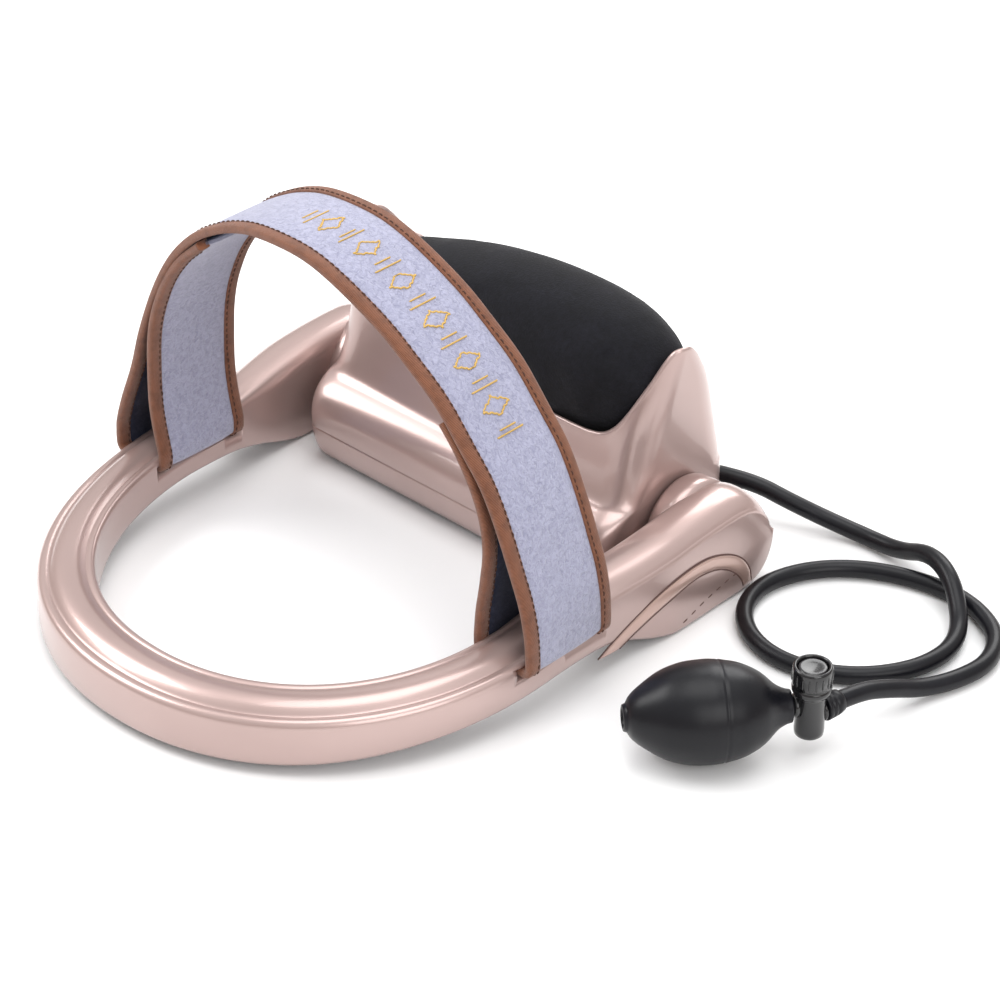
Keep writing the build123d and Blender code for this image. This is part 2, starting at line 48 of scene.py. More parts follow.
# camera
cameraSetup = {"place": (0.7156, -0.6717, 0.6876), "azimuth": 43.43, "elevation": 33.48, "lens": 107.53}
cameraData = bpy.data.cameras.new("studioCamera")
cameraData.lens = cameraSetup["lens"]
cameraData.sensor_width = 36
cameraData.clip_start = 0.01
cameraData.clip_end = 50
camera = bpy.data.objects.new("studioCamera", cameraData)
scene.collection.objects.link(camera)
camera.location = cameraSetup["place"]
camera.rotation_euler = (math.radians(90 - cameraSetup["elevation"]), 0,
                         math.radians(cameraSetup["azimuth"]))
scene.camera = camera


# small helpers
def addMesh(name, verts, faces):
    mesh = bpy.data.meshes.new(name)
    mesh.from_pydata([tuple(v) for v in verts], [], faces)
    mesh.validate()
    mesh.shade_smooth()
    piece = bpy.data.objects.new(name, mesh)
    scene.collection.objects.link(piece)
    return piece


def faceOutwards(piece, mergeAt=1e-6):
    bm = bmesh.new()
    bm.from_mesh(piece.data)
    bmesh.ops.remove_doubles(bm, verts=bm.verts, dist=mergeAt)
    bmesh.ops.recalc_face_normals(bm, faces=bm.faces)
    bm.to_mesh(piece.data)
    bm.free()
    piece.data.shade_smooth()


def skinRows(name, rows, closeAlong=False, capEnds=False):
    rows = np.asarray(rows, float)
    count, across = rows.shape[:2]
    verts = rows.reshape(-1, 3)
    faces = []
    lastRow = count if closeAlong else count - 1
    for i in range(lastRow):
        for j in range(across):
            a, b = i * across + j, i * across + (j + 1) % across
            c, d = ((i + 1) % count) * across + (j + 1) % across, ((i + 1) % count) * across + j
            faces.append((a, b, c, d))
    if capEnds:
        faces.append(tuple(range(across))[::-1])
        faces.append(tuple((count - 1) * across + j for j in range(across)))
    return addMesh(name, verts, faces)


def smoothLine(points, steps=12):
    # Catmull-Rom line through the points, so a profile needs only a few numbers
    pts = np.asarray(points, float)
    pts = np.vstack([2 * pts[0] - pts[1], pts, 2 * pts[-1] - pts[-2]])
    out = []
    for i in range(1, len(pts) - 2):
        for t in np.linspace(0, 1, steps, endpoint=False):
            a, b, c, d = pts[i - 1:i + 3]
            out.append(0.5 * (2 * b + (c - a) * t + (2 * a - 5 * b + 4 * c - d) * t * t
                              + (3 * b - a - 3 * c + d) * t ** 3))
    out.append(pts[-2])
    return np.array(out)


def evenLine(points, count):
    pts = np.asarray(points, float)
    run = np.concatenate([[0], np.cumsum(np.linalg.norm(np.diff(pts, axis=0), axis=1))])
    at = np.linspace(0, run[-1], count)
    return np.stack([np.interp(at, run, pts[:, k]) for k in range(pts.shape[1])], 1), at


def lookup(table, x):
    line = smoothLine(table, 8)
    return np.interp(x, line[:, 0], line[:, 1])


def turned(name, profile, origin, direction, count=64):
    # a turned piece: profile is (distance along the axis, radius)
    direction = Vector(direction).normalized()
    side = direction.cross(Vector((0, 0, 1)))
    side = Vector((1, 0, 0)) if side.length < 0.01 else side.normalized()
    up = side.cross(direction)
    rows = []
    for along, radius in profile:
        ring = []
        for k in range(count):
            a = 2 * math.pi * k / count
            ring.append(Vector(origin) + direction * along + (side * math.cos(a) + up * math.sin(a)) * radius)
        rows.append([tuple(p) for p in ring])
    piece = skinRows(name, rows)
    faceOutwards(piece, 2e-6)
    closeHoles(piece)
    return piece


def closeHoles(piece):
    bm = bmesh.new()
    bm.from_mesh(piece.data)
    edges = [e for e in bm.edges if e.is_boundary]
    if edges:
        bmesh.ops.holes_fill(bm, edges=edges, sides=0)
    bmesh.ops.recalc_face_normals(bm, faces=bm.faces)
    bm.to_mesh(piece.data)
    bm.free()
    piece.data.shade_smooth()


def joinPieces(name, pieces):
    bm = bmesh.new()
    for p in pieces:
        bm.from_mesh(p.data)
    mesh = bpy.data.meshes.new(name)
    bm.to_mesh(mesh)
    bm.free()
    joined = bpy.data.objects.new(name, mesh)
    scene.collection.objects.link(joined)
    for p in pieces:
        bpy.data.objects.remove(p)
    mesh.shade_smooth()
    return joined


def bakeModifiers(piece):
    graph = bpy.context.evaluated_depsgraph_get()
    mesh = bpy.data.meshes.new_from_object(piece.evaluated_get(graph))
    piece.modifiers.clear()
    piece.data = mesh
    return piece


def place(piece, body, slot, material, *nodes):
    piece.data.materials.clear()
    piece.data.materials.append(material)
    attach(piece, body)
    if nodes:
        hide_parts(*nodes)
    return piece


# materials
def newMaterial(name, colour, roughness, **sockets):
    material = bpy.data.materials.new(name)
    material.use_nodes = True
    shader = material.node_tree.nodes["Principled BSDF"]
    shader.inputs["Base Color"].default_value = (*colour, 1)
    shader.inputs["Roughness"].default_value = roughness
    for key, value in sockets.items():
        shader.inputs[key.replace("_", " ")].default_value = value
    return material


class Weave:
    # short way to add and wire nodes in one material
    def __init__(self, material):
        self.tree = material.node_tree
        self.shader = self.tree.nodes["Principled BSDF"]

    def add(self, kind, **values):
        made = self.tree.nodes.new(kind)
        for key, value in values.items():
            if key in made.inputs:
                made.inputs[key].default_value = value
            else:
                setattr(made, key, value)
        return made

    def wire(self, a, b):
        self.tree.links.new(a, b)

    def coordinates(self, scale=(1, 1, 1), uvName=None):
        if uvName:
            source = self.add("ShaderNodeUVMap", uv_map=uvName).outputs["UV"]
        else:
            source = self.add("ShaderNodeTexCoord").outputs["Object"]
        mapping = self.add("ShaderNodeMapping")
        mapping.inputs["Scale"].default_value = scale
        self.wire(source, mapping.inputs["Vector"])
        return mapping.outputs["Vector"]

    def noise(self, vector, scale, detail=3.0, roughness=0.55):
        made = self.add("ShaderNodeTexNoise", Scale=scale, Detail=detail, Roughness=roughness)
        self.wire(vector, made.inputs["Vector"])
        return made.outputs["Fac"]

    def ramp(self, value, low, high, start=0.35, stop=0.65):
        made = self.add("ShaderNodeValToRGB")
        made.color_ramp.elements[0].position = start
        made.color_ramp.elements[1].position = stop
        made.color_ramp.elements[0].color = (*low, 1)
        made.color_ramp.elements[1].color = (*high, 1)
        self.wire(value, made.inputs["Fac"])
        return made.outputs["Color"]

    def spread(self, value, low, high):
        made = self.add("ShaderNodeMapRange")
        made.inputs["To Min"].default_value = low
        made.inputs["To Max"].default_value = high
        self.wire(value, made.inputs["Value"])
        return made.outputs["Result"]

    def product(self, a, b):
        made = self.add("ShaderNodeMath", operation="MULTIPLY")
        self.wire(a, made.inputs[0])
        self.wire(b, made.inputs[1])
        return made.outputs[0]

    def bump(self, height, strength, distance, under=None):
        made = self.add("ShaderNodeBump", Strength=strength, Distance=distance)
        self.wire(height, made.inputs["Height"])
        if under:
            self.wire(under, made.inputs["Normal"])
        self.wire(made.outputs["Normal"], self.shader.inputs["Normal"])
        return made.outputs["Normal"]

    def colour(self, output):
        self.wire(output, self.shader.inputs["Base Color"])

    def rough(self, output):
        self.wire(output, self.shader.inputs["Roughness"])


def pearlPlastic(name, low, high, roughness=0.27):
    made = newMaterial(name, high, roughness, Metallic=0.55, Coat_Weight=0.6, Coat_Roughness=0.06)
    w = Weave(made)
    at = w.coordinates()
    w.colour(w.ramp(w.noise(at, 14, 2.0), low, high, 0.3, 0.7))
    w.rough(w.spread(w.noise(at, 22, 3.0), roughness - 0.02, roughness + 0.03))
    return made


def mouldedPlastic(name, colour, roughness, grain=900, strength=0.15, **sockets):
    made = newMaterial(name, colour, roughness, **sockets)
    w = Weave(made)
    at = w.coordinates()
    dark = tuple(c * 0.8 for c in colour)
    w.colour(w.ramp(w.noise(at, 45, 4.0), dark, colour, 0.3, 0.75))
    w.rough(w.spread(w.noise(at, 130, 4.0), roughness - 0.05, min(roughness + 0.08, 1)))
    w.bump(w.noise(at, grain, 3.0), strength, 0.0002)
    return made


def brushedMetal(name, colour, roughness):
    made = newMaterial(name, colour, roughness, Metallic=1.0)
    w = Weave(made)
    at = w.coordinates((1, 1, 14))
    w.rough(w.spread(w.noise(at, 420, 4.0), roughness - 0.08, roughness + 0.12))
    w.bump(w.noise(at, 900, 2.0), 0.08, 0.0001)
    return made


def knitCloth(name, colour, light, scale, sheen):
    # fine stretch knit, loops running on Object coordinates
    made = newMaterial(name, colour, 0.86, Sheen_Weight=sheen, Sheen_Roughness=0.45,
                       Specular_IOR_Level=0.25)
    w = Weave(made)
    at = w.coordinates()
    loops = w.add("ShaderNodeTexVoronoi", Scale=scale)
    w.wire(at, loops.inputs["Vector"])
    soft = w.noise(at, 55, 4.0)
    w.colour(w.ramp(w.product(w.noise(at, scale * 0.4, 3.0), soft), colour, light, 0.1, 0.5))
    first = w.bump(loops.outputs["Distance"], 0.35, 0.0003)
    w.bump(w.noise(at, 160, 5.0), 0.16, 0.0006, first)
    return made


def plushCloth(name, dark, light):
    # short brushed pile: swirling noise with fine fibre on top
    made = newMaterial(name, light, 0.95, Sheen_Weight=0.5, Sheen_Roughness=0.5,
                       Specular_IOR_Level=0.1)
    w = Weave(made)
    at = w.coordinates()
    swirl = w.add("ShaderNodeTexNoise", Scale=520.0, Detail=4.0, Roughness=0.6, Distortion=1.1)
    w.wire(at, swirl.inputs["Vector"])
    w.colour(w.ramp(swirl.outputs["Fac"], dark, light, 0.32, 0.62))
    first = w.bump(swirl.outputs["Fac"], 0.75, 0.0011)
    w.bump(w.noise(at, 1500, 3.0), 0.4, 0.0004, first)
    return made


def ribbedTape(name, dark, light):
    # woven tape with cross ribs; U runs along the tape in millimetres
    made = newMaterial(name, light, 0.78, Sheen_Weight=0.25, Sheen_Roughness=0.5,
                       Specular_IOR_Level=0.3)
    w = Weave(made)
    at = w.coordinates((1, 1, 1), "tapeMap")
    ribs = w.add("ShaderNodeTexWave", Scale=0.62, Distortion=0.25, Detail=1.0)
    w.wire(at, ribs.inputs["Vector"])
    world = w.coordinates()
    # colour follows the rib relief: painted shade in the rib troughs and painted highlight on the crests,
    # mixed with random tone noise
    ribShadeAndTone = w.product(ribs.outputs["Fac"], w.noise(world, 260, 4.0))
    w.colour(w.ramp(ribShadeAndTone, dark, light, 0.05, 0.5))
    first = w.bump(ribs.outputs["Fac"], 0.55, 0.00035)
    w.bump(w.noise(world, 1300, 3.0), 0.3, 0.0003, first)
    return made


def matteRubber(name, colour, roughness, strength=0.12):
    made = newMaterial(name, colour, roughness, Specular_IOR_Level=0.28)
    w = Weave(made)
    at = w.coordinates()
    dust = tuple(min(1, c * 1.9 + 0.004) for c in colour)
    w.colour(w.ramp(w.noise(at, 30, 6.0, 0.7), colour, dust, 0.45, 0.85))
    w.rough(w.spread(w.noise(at, 90, 5.0), roughness - 0.07, roughness + 0.09))
    w.bump(w.noise(at, 1100, 3.0), strength, 0.0002)
    return made


finishes = {
    "pearl_shell": pearlPlastic("pearlShell", (0.435, 0.315, 0.292), (0.48, 0.352, 0.328), 0.31),
    "trim_pink": pearlPlastic("stripePink", (0.53, 0.36, 0.31), (0.58, 0.40, 0.35), 0.35),
    "inner_plastic": mouldedPlastic("innerPlastic", (0.10, 0.09, 0.095), 0.5),
    "foot_rubber": matteRubber("footRubber", (0.03, 0.03, 0.032), 0.75),
    "steel": brushedMetal("screwSteel", (0.62, 0.62, 0.64), 0.32),
    "washer_nylon": mouldedPlastic("washerNylon", (0.30, 0.22, 0.205), 0.5),
    "bronze": brushedMetal("bushBronze", (0.55, 0.38, 0.18), 0.35),
    "pillow_knit": knitCloth("pillowKnit", (0.003, 0.003, 0.0046), (0.0085, 0.0085, 0.0135), 1300, 0.06),
    "foam": mouldedPlastic("pillowFoam", (0.55, 0.5, 0.36), 0.95, 500, 0.6),
    "bladder_rubber": matteRubber("bladderRubber", (0.10, 0.10, 0.11), 0.6),
    "plush": plushCloth("bandPlush", (0.25, 0.255, 0.36), (0.37, 0.375, 0.50)),
    "binding": ribbedTape("bindingTape", (0.10, 0.034, 0.016), (0.29, 0.11, 0.055)),
    "lining": knitCloth("bandLining", (0.02, 0.024, 0.045), (0.05, 0.055, 0.09), 900, 0.1),
    "hook": mouldedPlastic("hookTape", (0.02, 0.02, 0.024), 0.7, 1800, 0.8),
    "pump_rubber": matteRubber("pumpRubber", (0.0032, 0.0032, 0.0052), 0.34),
    "valve_plastic": mouldedPlastic("valvePlastic", (0.005, 0.005, 0.006), 0.2, 700, 0.06, Coat_Weight=0.3),
}
for entry in frame["record"]["subparts"]:
    node = frame["nodes"][entry["node"]]
    node.data.materials.clear()
    node.data.materials.append(finishes[entry["material_slot"]])
print("materials ready:", len(finishes))


# geometry node tree: things that repeat along a line
def newTree(name, inputs):
    tree = bpy.data.node_groups.new(name, "GeometryNodeTree")
    tree.interface.new_socket("Geometry", in_out="INPUT", socket_type="NodeSocketGeometry")
    for label, kind, value in inputs:
        socket = tree.interface.new_socket(label, in_out="INPUT", socket_type=kind)
        if value is not None:
            socket.default_value = value
    tree.interface.new_socket("Geometry", in_out="OUTPUT", socket_type="NodeSocketGeometry")
    enter = tree.nodes.new("NodeGroupInput")
    leave = tree.nodes.new("NodeGroupOutput")
    return tree, enter, leave


def alongLineTree(name):
    # copies of one shape set along a line, turned with it, then made real
    tree, enter, leave = newTree(name, [
        ("Spacing", "NodeSocketFloat", 0.003), ("Shape", "NodeSocketObject", None),
        ("Size", "NodeSocketFloat", 1.0), ("Spread", "NodeSocketFloat", 0.0),
        ("Seed", "NodeSocketInt", 7), ("Finish", "NodeSocketMaterial", None)])
    new, link = tree.nodes.new, tree.links.new
    resample = new("GeometryNodeResampleCurve")
    resample.mode = "LENGTH"
    link(enter.outputs["Geometry"], resample.inputs["Curve"])
    link(enter.outputs["Spacing"], resample.inputs["Length"])
    tangent = new("GeometryNodeInputTangent")
    align = new("FunctionNodeAlignEulerToVector")
    align.axis = "X"
    link(tangent.outputs[0], align.inputs["Vector"])
    tilt = new("GeometryNodeInputNormal")
    roll = new("FunctionNodeAlignEulerToVector")
    roll.axis = "Z"
    roll.pivot_axis = "X"
    link(align.outputs[0], roll.inputs["Rotation"])
    link(tilt.outputs[0], roll.inputs["Vector"])
    shape = new("GeometryNodeObjectInfo")
    link(enter.outputs["Shape"], shape.inputs["Object"])
    wobble = new("FunctionNodeRandomValue")
    wobble.data_type = "FLOAT"
    low = new("ShaderNodeMath")
    low.operation = "SUBTRACT"
    high = new("ShaderNodeMath")
    link(enter.outputs["Size"], low.inputs[0])
    link(enter.outputs["Spread"], low.inputs[1])
    link(enter.outputs["Size"], high.inputs[0])
    link(enter.outputs["Spread"], high.inputs[1])
    link(low.outputs[0], wobble.inputs[2])
    link(high.outputs[0], wobble.inputs[3])
    link(enter.outputs["Seed"], wobble.inputs["Seed"])
    setOn = new("GeometryNodeInstanceOnPoints")
    link(resample.outputs["Curve"], setOn.inputs["Points"])
    link(shape.outputs["Geometry"], setOn.inputs["Instance"])
    link(roll.outputs[0], setOn.inputs["Rotation"])
    link(wobble.outputs[1], setOn.inputs["Scale"])
    real = new("GeometryNodeRealizeInstances")
    link(setOn.outputs["Instances"], real.inputs["Geometry"])
    finish = new("GeometryNodeSetMaterial")
    link(real.outputs["Geometry"], finish.inputs["Geometry"])
    link(enter.outputs["Finish"], finish.inputs["Material"])
    link(finish.outputs["Geometry"], leave.inputs["Geometry"])
    return tree


alongLine = alongLineTree("setAlongLine")


def setAlong(name, lines, shape, material, spacing, size=1.0, spread=0.0, seed=7):
    # lines: list of point lists; returns one plain mesh object
    curve = bpy.data.curves.new(name + "Line", "CURVE")
    curve.dimensions = "3D"
    curve.twist_mode = "Z_UP"
    for points in lines:
        spline = curve.splines.new("POLY")
        spline.points.add(len(points) - 1)
        for p, q in zip(spline.points, points):
            p.co = (*q, 1)
    holder = bpy.data.objects.new(name + "Line", curve)
    scene.collection.objects.link(holder)
    modifier = holder.modifiers.new("setAlongLine", "NODES")
    modifier.node_group = alongLine
    values = {"Spacing": spacing, "Shape": shape, "Size": size, "Spread": spread, "Seed": seed,
              "Finish": material}
    for item in alongLine.interface.items_tree:
        if item.in_out == "INPUT" and item.name in values:
            modifier[item.identifier] = values[item.name]
    graph = bpy.context.evaluated_depsgraph_get()
    mesh = bpy.data.meshes.new_from_object(holder.evaluated_get(graph))
    bpy.data.objects.remove(holder)
    made = bpy.data.objects.new(name, mesh)
    scene.collection.objects.link(made)
    mesh.shade_smooth()
    return made


def threadShape(name, length, radius, bend=0.25):
    # one low stitch: six sides, ends dipping into the cloth
    rows = []
    for t in np.linspace(-1, 1, 7):
        swell = math.sqrt(max(0.0, 1 - (abs(t) ** 3))) * radius + 1e-6
        ring = []
        for k in range(6):
            a = 2 * math.pi * k / 6
            ring.append((t * length / 2, math.cos(a) * swell,
                         math.sin(a) * swell * 0.8 + (1 - t * t) * radius * bend))
        rows.append(ring)
    piece = skinRows(name, rows, capEnds=True)
    faceOutwards(piece, 1e-7)
    return piece


# hose first, then everything it joins
hose = {"radius": 3.6, "points": [
    (206.0, 78.5, 11.0), (210.5, 93.5, 4.9), (216.5, 109.0, 3.9), (219.0, 125.5, 3.9), (212.0, 141.0, 3.9),
    (198.0, 150.5, 3.9), (181.5, 154.0, 3.9), (165.0, 151.5, 3.9), (149.5, 145.5, 3.9), (136.0, 135.5, 3.9),
    (126.5, 121.5, 3.9), (122.5, 105.0, 3.9), (127.0, 89.0, 3.9), (138.5, 77.5, 3.9), (154.0, 72.0, 3.9),
    (170.5, 74.0, 3.9), (185.0, 82.0, 3.9), (196.0, 94.5, 3.9), (202.5, 109.5, 3.9), (202.5, 126.0, 3.9),
    (194.5, 140.5, 5.4), (181.5, 150.5, 14.5), (166.0, 157.5, 14.5), (149.5, 161.0, 5.4),
    (132.5, 162.0, 3.9), (116.0, 158.0, 6.4), (100.5, 150.0, 12.9)]}
bulbMiddle = Vector((173.0, 11.0, 20.0)) * mm
bulbWay = Vector((0.64, 0.768, 0)).normalized()
valveMiddle = bulbMiddle + bulbWay * 0.039
portWay = Vector((0.18, 0.984, 0)).normalized()
portStart = Vector((valveMiddle.x, valveMiddle.y, 0.0155))
fittingWay = Vector((0.94, 0.34, 0)).normalized()
fittingEnd = Vector((0.062, 0.1365, 0.018)) + fittingWay * 0.010
hoseStart = portStart + portWay * 0.0072
route = [hoseStart, hoseStart + portWay * 0.016] + [Vector(p) * mm for p in hose["points"]]
route += [fittingEnd + fittingWay * 0.015, fittingEnd]
route.reverse()
hoseCurve = bpy.data.curves.new("airHoseLine", "CURVE")
hoseCurve.dimensions = "3D"
hoseSpline = hoseCurve.splines.new("NURBS")
hoseSpline.points.add(len(route) - 1)
for p, q in zip(hoseSpline.points, route):
    p.co = (*q, 1)
hoseSpline.order_u = 3
hoseSpline.use_endpoint_u = True
hoseSpline.resolution_u = 8
hoseCurve.bevel_depth = hose["radius"] * mm
hoseCurve.bevel_resolution = 8
hoseCurve.use_fill_caps = True
airHose = bpy.data.objects.new("airHose", hoseCurve)
scene.collection.objects.link(airHose)
place(airHose, "base", "pump_rubber", finishes["pump_rubber"], "air_hose")

# squeeze bulb
bulb = {"length": 60.0, "radius": 19.5}
half = bulb["length"] / 2
r = bulb["radius"]
bulbProfile = smoothLine([(-half + 0.5, 5.6), (-half + 2.2, 8.2), (-half * 0.8, r * 0.585),
                          (-half * 0.55, r * 0.83), (-half * 0.28, r * 0.965), (0, r),
                          (half * 0.16, r * 0.985)], 7)
bulbProfile = np.vstack([bulbProfile, [(half * 0.17, r * 0.975), (half * 0.19, r * 0.975)]])
bulbBack = smoothLine([(half * 0.2, r * 0.98), (half * 0.45, r * 0.885), (half * 0.68, r * 0.70),
                       (half * 0.86, r * 0.45), (half * 0.97, 6.9), (half + 1.6, 6.2)], 7)
lip = [(-half + 3.4, 0.0), (-half + 3.2, 2.2), (-half + 1.2, 2.4), (-half + 0.9, 3.3), (-half - 0.5, 3.6),
       (-half - 1.0, 4.2), (-half - 0.8, 5.0), (-half + 0.3, 5.4)]
profile = np.vstack([lip, bulbProfile, bulbBack, [(half + 1.7, 5.6), (half + 1.7, 0.0)]]) * mm
squeezeBulb = turned("squeezeBulb", profile, bulbMiddle, bulbWay, 96)
place(squeezeBulb, "base", "pump_rubber", finishes["pump_rubber"], "squeeze_bulb", "inlet_housing")
print("bulb done")

# air valve
valve = {"low": 7.0, "ribs": 18, "ribAt": 7.45, "ribLow": 30.6, "ribHigh": 36.4}
x, y = valveMiddle.x, valveMiddle.y
barrel = turned("valveBarrel", np.array([
    (valve["low"], 0), (valve["low"], 4.9), (7.6, 5.5), (9.4, 5.7), (24.6, 5.7), (25.4, 5.9), (26.4, 7.0),
    (27.4, 7.45), (29.0, 7.5), (29.2, 7.2), (30.0, 7.2), (30.2, 7.5), (36.8, 7.5), (37.7, 7.2),
    (38.0, 6.7), (37.9, 6.2), (37.4, 5.9), (30.2, 5.8), (30.0, 0)]) * mm, (x, y, 0), (0, 0, 1), 64)
inletSpigot = turned("inletSpigot", np.array([(4.6, 0), (4.6, 4.5), (6.2, 4.6), (6.6, 4.1), (13.4, 4.0),
                                              (13.5, 0)]) * mm,
                     (x, y, bulbMiddle.z), -bulbWay, 40)
outletSpigot = turned("outletSpigot", np.array([(4.4, 0), (4.4, 4.6), (5.4, 4.6), (5.8, 3.2), (8.0, 2.6),
                                                (13.0, 2.5), (13.0, 0)]) * mm, portStart, portWay, 40)
gripRib = threadShape("gripRib", 5.6 * mm, 0.42 * mm, 0.0)
ribLines = []
for k in range(valve["ribs"]):
    a = 2 * math.pi * k / valve["ribs"]
    p = Vector((x + math.cos(a) * valve["ribAt"] * mm, y + math.sin(a) * valve["ribAt"] * mm, 0))
    ribLines.append([p + Vector((0, 0, valve["ribLow"] * mm)), p + Vector((0, 0, valve["ribHigh"] * mm))])
ribSteps = [[(a + b) / 2 - (b - a) * 0.01, (a + b) / 2 + (b - a) * 0.01] for a, b in ribLines]
gripRibs = setAlong("gripRibs", ribSteps, gripRib, finishes["valve_plastic"], 1.0)
valveBody = joinPieces("valveBody", [barrel, inletSpigot, outletSpigot])
place(valveBody, "base", "valve_plastic", finishes["valve_plastic"], "valve_body")
bpy.data.objects.remove(gripRib)
place(gripRibs, "base", "valve_plastic", finishes["valve_plastic"])
button = turned("releaseButton", np.array([(22.5, 0), (22.5, 1.6), (34.6, 1.6), (34.6, 5.3), (35.0, 5.5),
                                           (36.9, 5.5), (37.3, 5.2), (37.4, 4.4), (37.1, 3.0),
                                           (37.0, 0)]) * mm, (x, y, 0), (0, 0, 1), 48)
place(button, "release_button", "valve_plastic", finishes["valve_plastic"], "release_button")
sleeve = turned("hoseSleeve", np.array([(6.2, 3.7), (6.2, 4.9), (6.6, 5.2), (7.6, 5.2), (7.9, 4.8),
                                        (8.4, 4.8), (8.7, 5.15), (9.8, 5.1), (10.1, 4.7), (10.6, 4.7),
                                        (10.9, 5.0), (12.6, 4.8), (14.2, 4.4), (14.6, 4.0),
                                        (14.6, 3.7)]) * mm, portStart, portWay, 48)
place(sleeve, "base", "pump_rubber", finishes["pump_rubber"], "hose_sleeve")
print("valve done")

# traction ring with both arms
ring = {"outer": 113.2, "inner": 91.2, "midY": -5.0, "outerDepth": 123.0, "innerDepth": 99.5,
        "pivotY": 97.0, "pivotZ": 22.5, "hub": 22.0, "power": 2.12, "flareFrom": 24.0, "flareTo": 66.0,
        "flare": 3.8, "flareInside": 2.6, "slotY": -0.5, "slotZ": 24.0, "slotSize": (40.0, 48.0, 4.4)}
armTop = [(-130, 26.2), (-90, 26.8), (-50, 28.2), (-20, 30.2), (0, 32.6), (27, 37.2), (47, 40.0),
          (62, 42.0), (77, 43.4), (90, 44.0), (97, 44.0)]
armLow = [(-130, 3.6), (-100, 4.8), (-60, 8.6), (-20, 11.8), (0, 13.0), (20, 12.6), (34, 9.4), (48, 4.0),
          (58, 1.0), (64, 0.5), (97, 0.5)]


def armHeights(yAt):
    if yAt <= ring["pivotY"]:
        low = float(lookup(armLow, yAt))
        return low, float(lookup(armTop, yAt))
    far = min((yAt - ring["pivotY"]) / ring["hub"], 1.0)
    return (ring["pivotZ"] - ring["hub"] * (1 - far ** 2.9) ** (1 / 2.9) - 0.01,
            ring["pivotZ"] + (ring["hub"] - 0.5) * (1 - far ** 2.15) ** (1 / 2.15) + 0.01)


def flareAt(yAt, most):
    t = min(max((yAt - ring["flareFrom"]) / (ring["flareTo"] - ring["flareFrom"]), 0), 1)
    return most * t * t * (3 - 2 * t)


def ringSection(yAt):
    # outline of the wall from inside bottom round over the crown: (distance out from the inner wall, height)
    low, top = armHeights(yAt)
    tall = top - low
    k = min(1.0, tall / 17.5)
    arm = min(max((yAt + 2.0) / 50.0, 0), 1)
    arm = arm * arm * (3 - 2 * arm)
    recess = 2.1 * min(1.0, max(0.0, (96.5 - yAt) / 2.0))
    wide = ring["outer"] - ring["inner"]
    crown = [(0.0, top - 5.6 * k), (0.0, top - 2.9 * k), (0.25, top - 1.5 * k), (1.0, top - 0.65 * k),
             (2.0, top - 0.45 * k), (2.9, top - 0.8 * k), (3.3, top - 1.15 * k), (3.7, top - 0.95 * k),
             (5.0, top + 0.15 * k), (7.4, top + 1.0 * k), (10.2, top + 1.15 * k), (12.8, top + 0.6 * k),
             (14.8, top - 0.6 * k), (16.2, top - 2.0 * k), (16.9, top - 2.75 * k), (17.3, top - 2.9 * k),
             (17.7, top - 2.7 * k), (18.6, top - 2.35 * k), (19.7, top - 2.55 * k), (20.7, top - 3.3 * k),
             (21.35, top - 4.5 * k), (21.6, top - 6.2 * k)]
    soft = [(0.0, top - 9.0 * k), (0.1, top - 6.0 * k), (0.5, top - 4.2 * k), (1.3, top - 2.7 * k),
            (2.4, top - 1.6 * k), (3.7, top - 0.8 * k), (4.8, top - 0.35 * k), (6.0, top - 0.05 * k),
            (7.6, top + 0.2 * k), (9.4, top + 0.3 * k), (11.2, top + 0.2 * k), (12.9, top - 0.1 * k),
            (14.5, top - 0.6 * k), (16.0, top - 1.3 * k), (17.3, top - 2.1 * k), (18.4, top - 3.0 * k),
            (19.3, top - 3.9 * k), (19.95, top - 4.7 * k), (20.25, top - 5.25 * k), (20.45, top - 5.5 * k),
            (20.95, top - 5.75 * k), (21.35, top - 7.4 * k)]
    crown = [(a + (c - a) * arm, b + (d - b) * arm) for (a, b), (c, d) in zip(crown, soft)]
    walls = [(wide, low + tall * 0.45), (wide, low + 2.2 * k), (wide - 0.35, low + 0.8 * k),
             (wide - 1.3, low), (wide - 2.4, low), (wide - 2.4, low + recess), (2.4, low + recess),
             (2.4, low), (1.2, low), (0.3, low + 0.8 * k), (0.0, low + 2.2 * k), (0.0, low + tall * 0.4)]
    return crown + walls


def ringStations():
    rows = []
    rear = [ring["pivotY"] + ring["hub"] * math.sin(a) for a in np.linspace(math.pi / 2 * 0.995, 0, 18)]
    arm = list(rear) + list(np.linspace(ring["pivotY"], ring["midY"], 74)[1:])
    for yAt in arm:
        rows.append((-1, yAt, None))
    for turn in np.linspace(math.pi, 2 * math.pi, 141)[1:-1]:
        rows.append((0, 0, turn))
    for yAt in arm[::-1]:
        rows.append((1, yAt, None))
    return rows


def ringBack(yAt, turn):
    if turn is None:
        return yAt
    return ring["midY"] - ring["outerDepth"] * abs(math.sin(turn)) ** (2 / ring["power"])


def ringPoint(side, yAt, turn, out, height):
    # a point that far out from the inner wall: on an arm, or on the round front, where turn is its angle
    share = out / (ring["outer"] - ring["inner"])
    if turn is None:
        grow = flareAt(yAt, ring["flareInside"]) * (1 - share) + flareAt(yAt, ring["flare"]) * share
        return side * (ring["inner"] + out + grow), yAt, height
    u, v = math.cos(turn), math.sin(turn)
    deep = ring["innerDepth"] + share * (ring["outerDepth"] - ring["innerDepth"])
    return ((ring["inner"] + out) * math.copysign(abs(u) ** (2 / ring["power"]), u),
            ring["midY"] - deep * abs(v) ** (2 / ring["power"]), height)


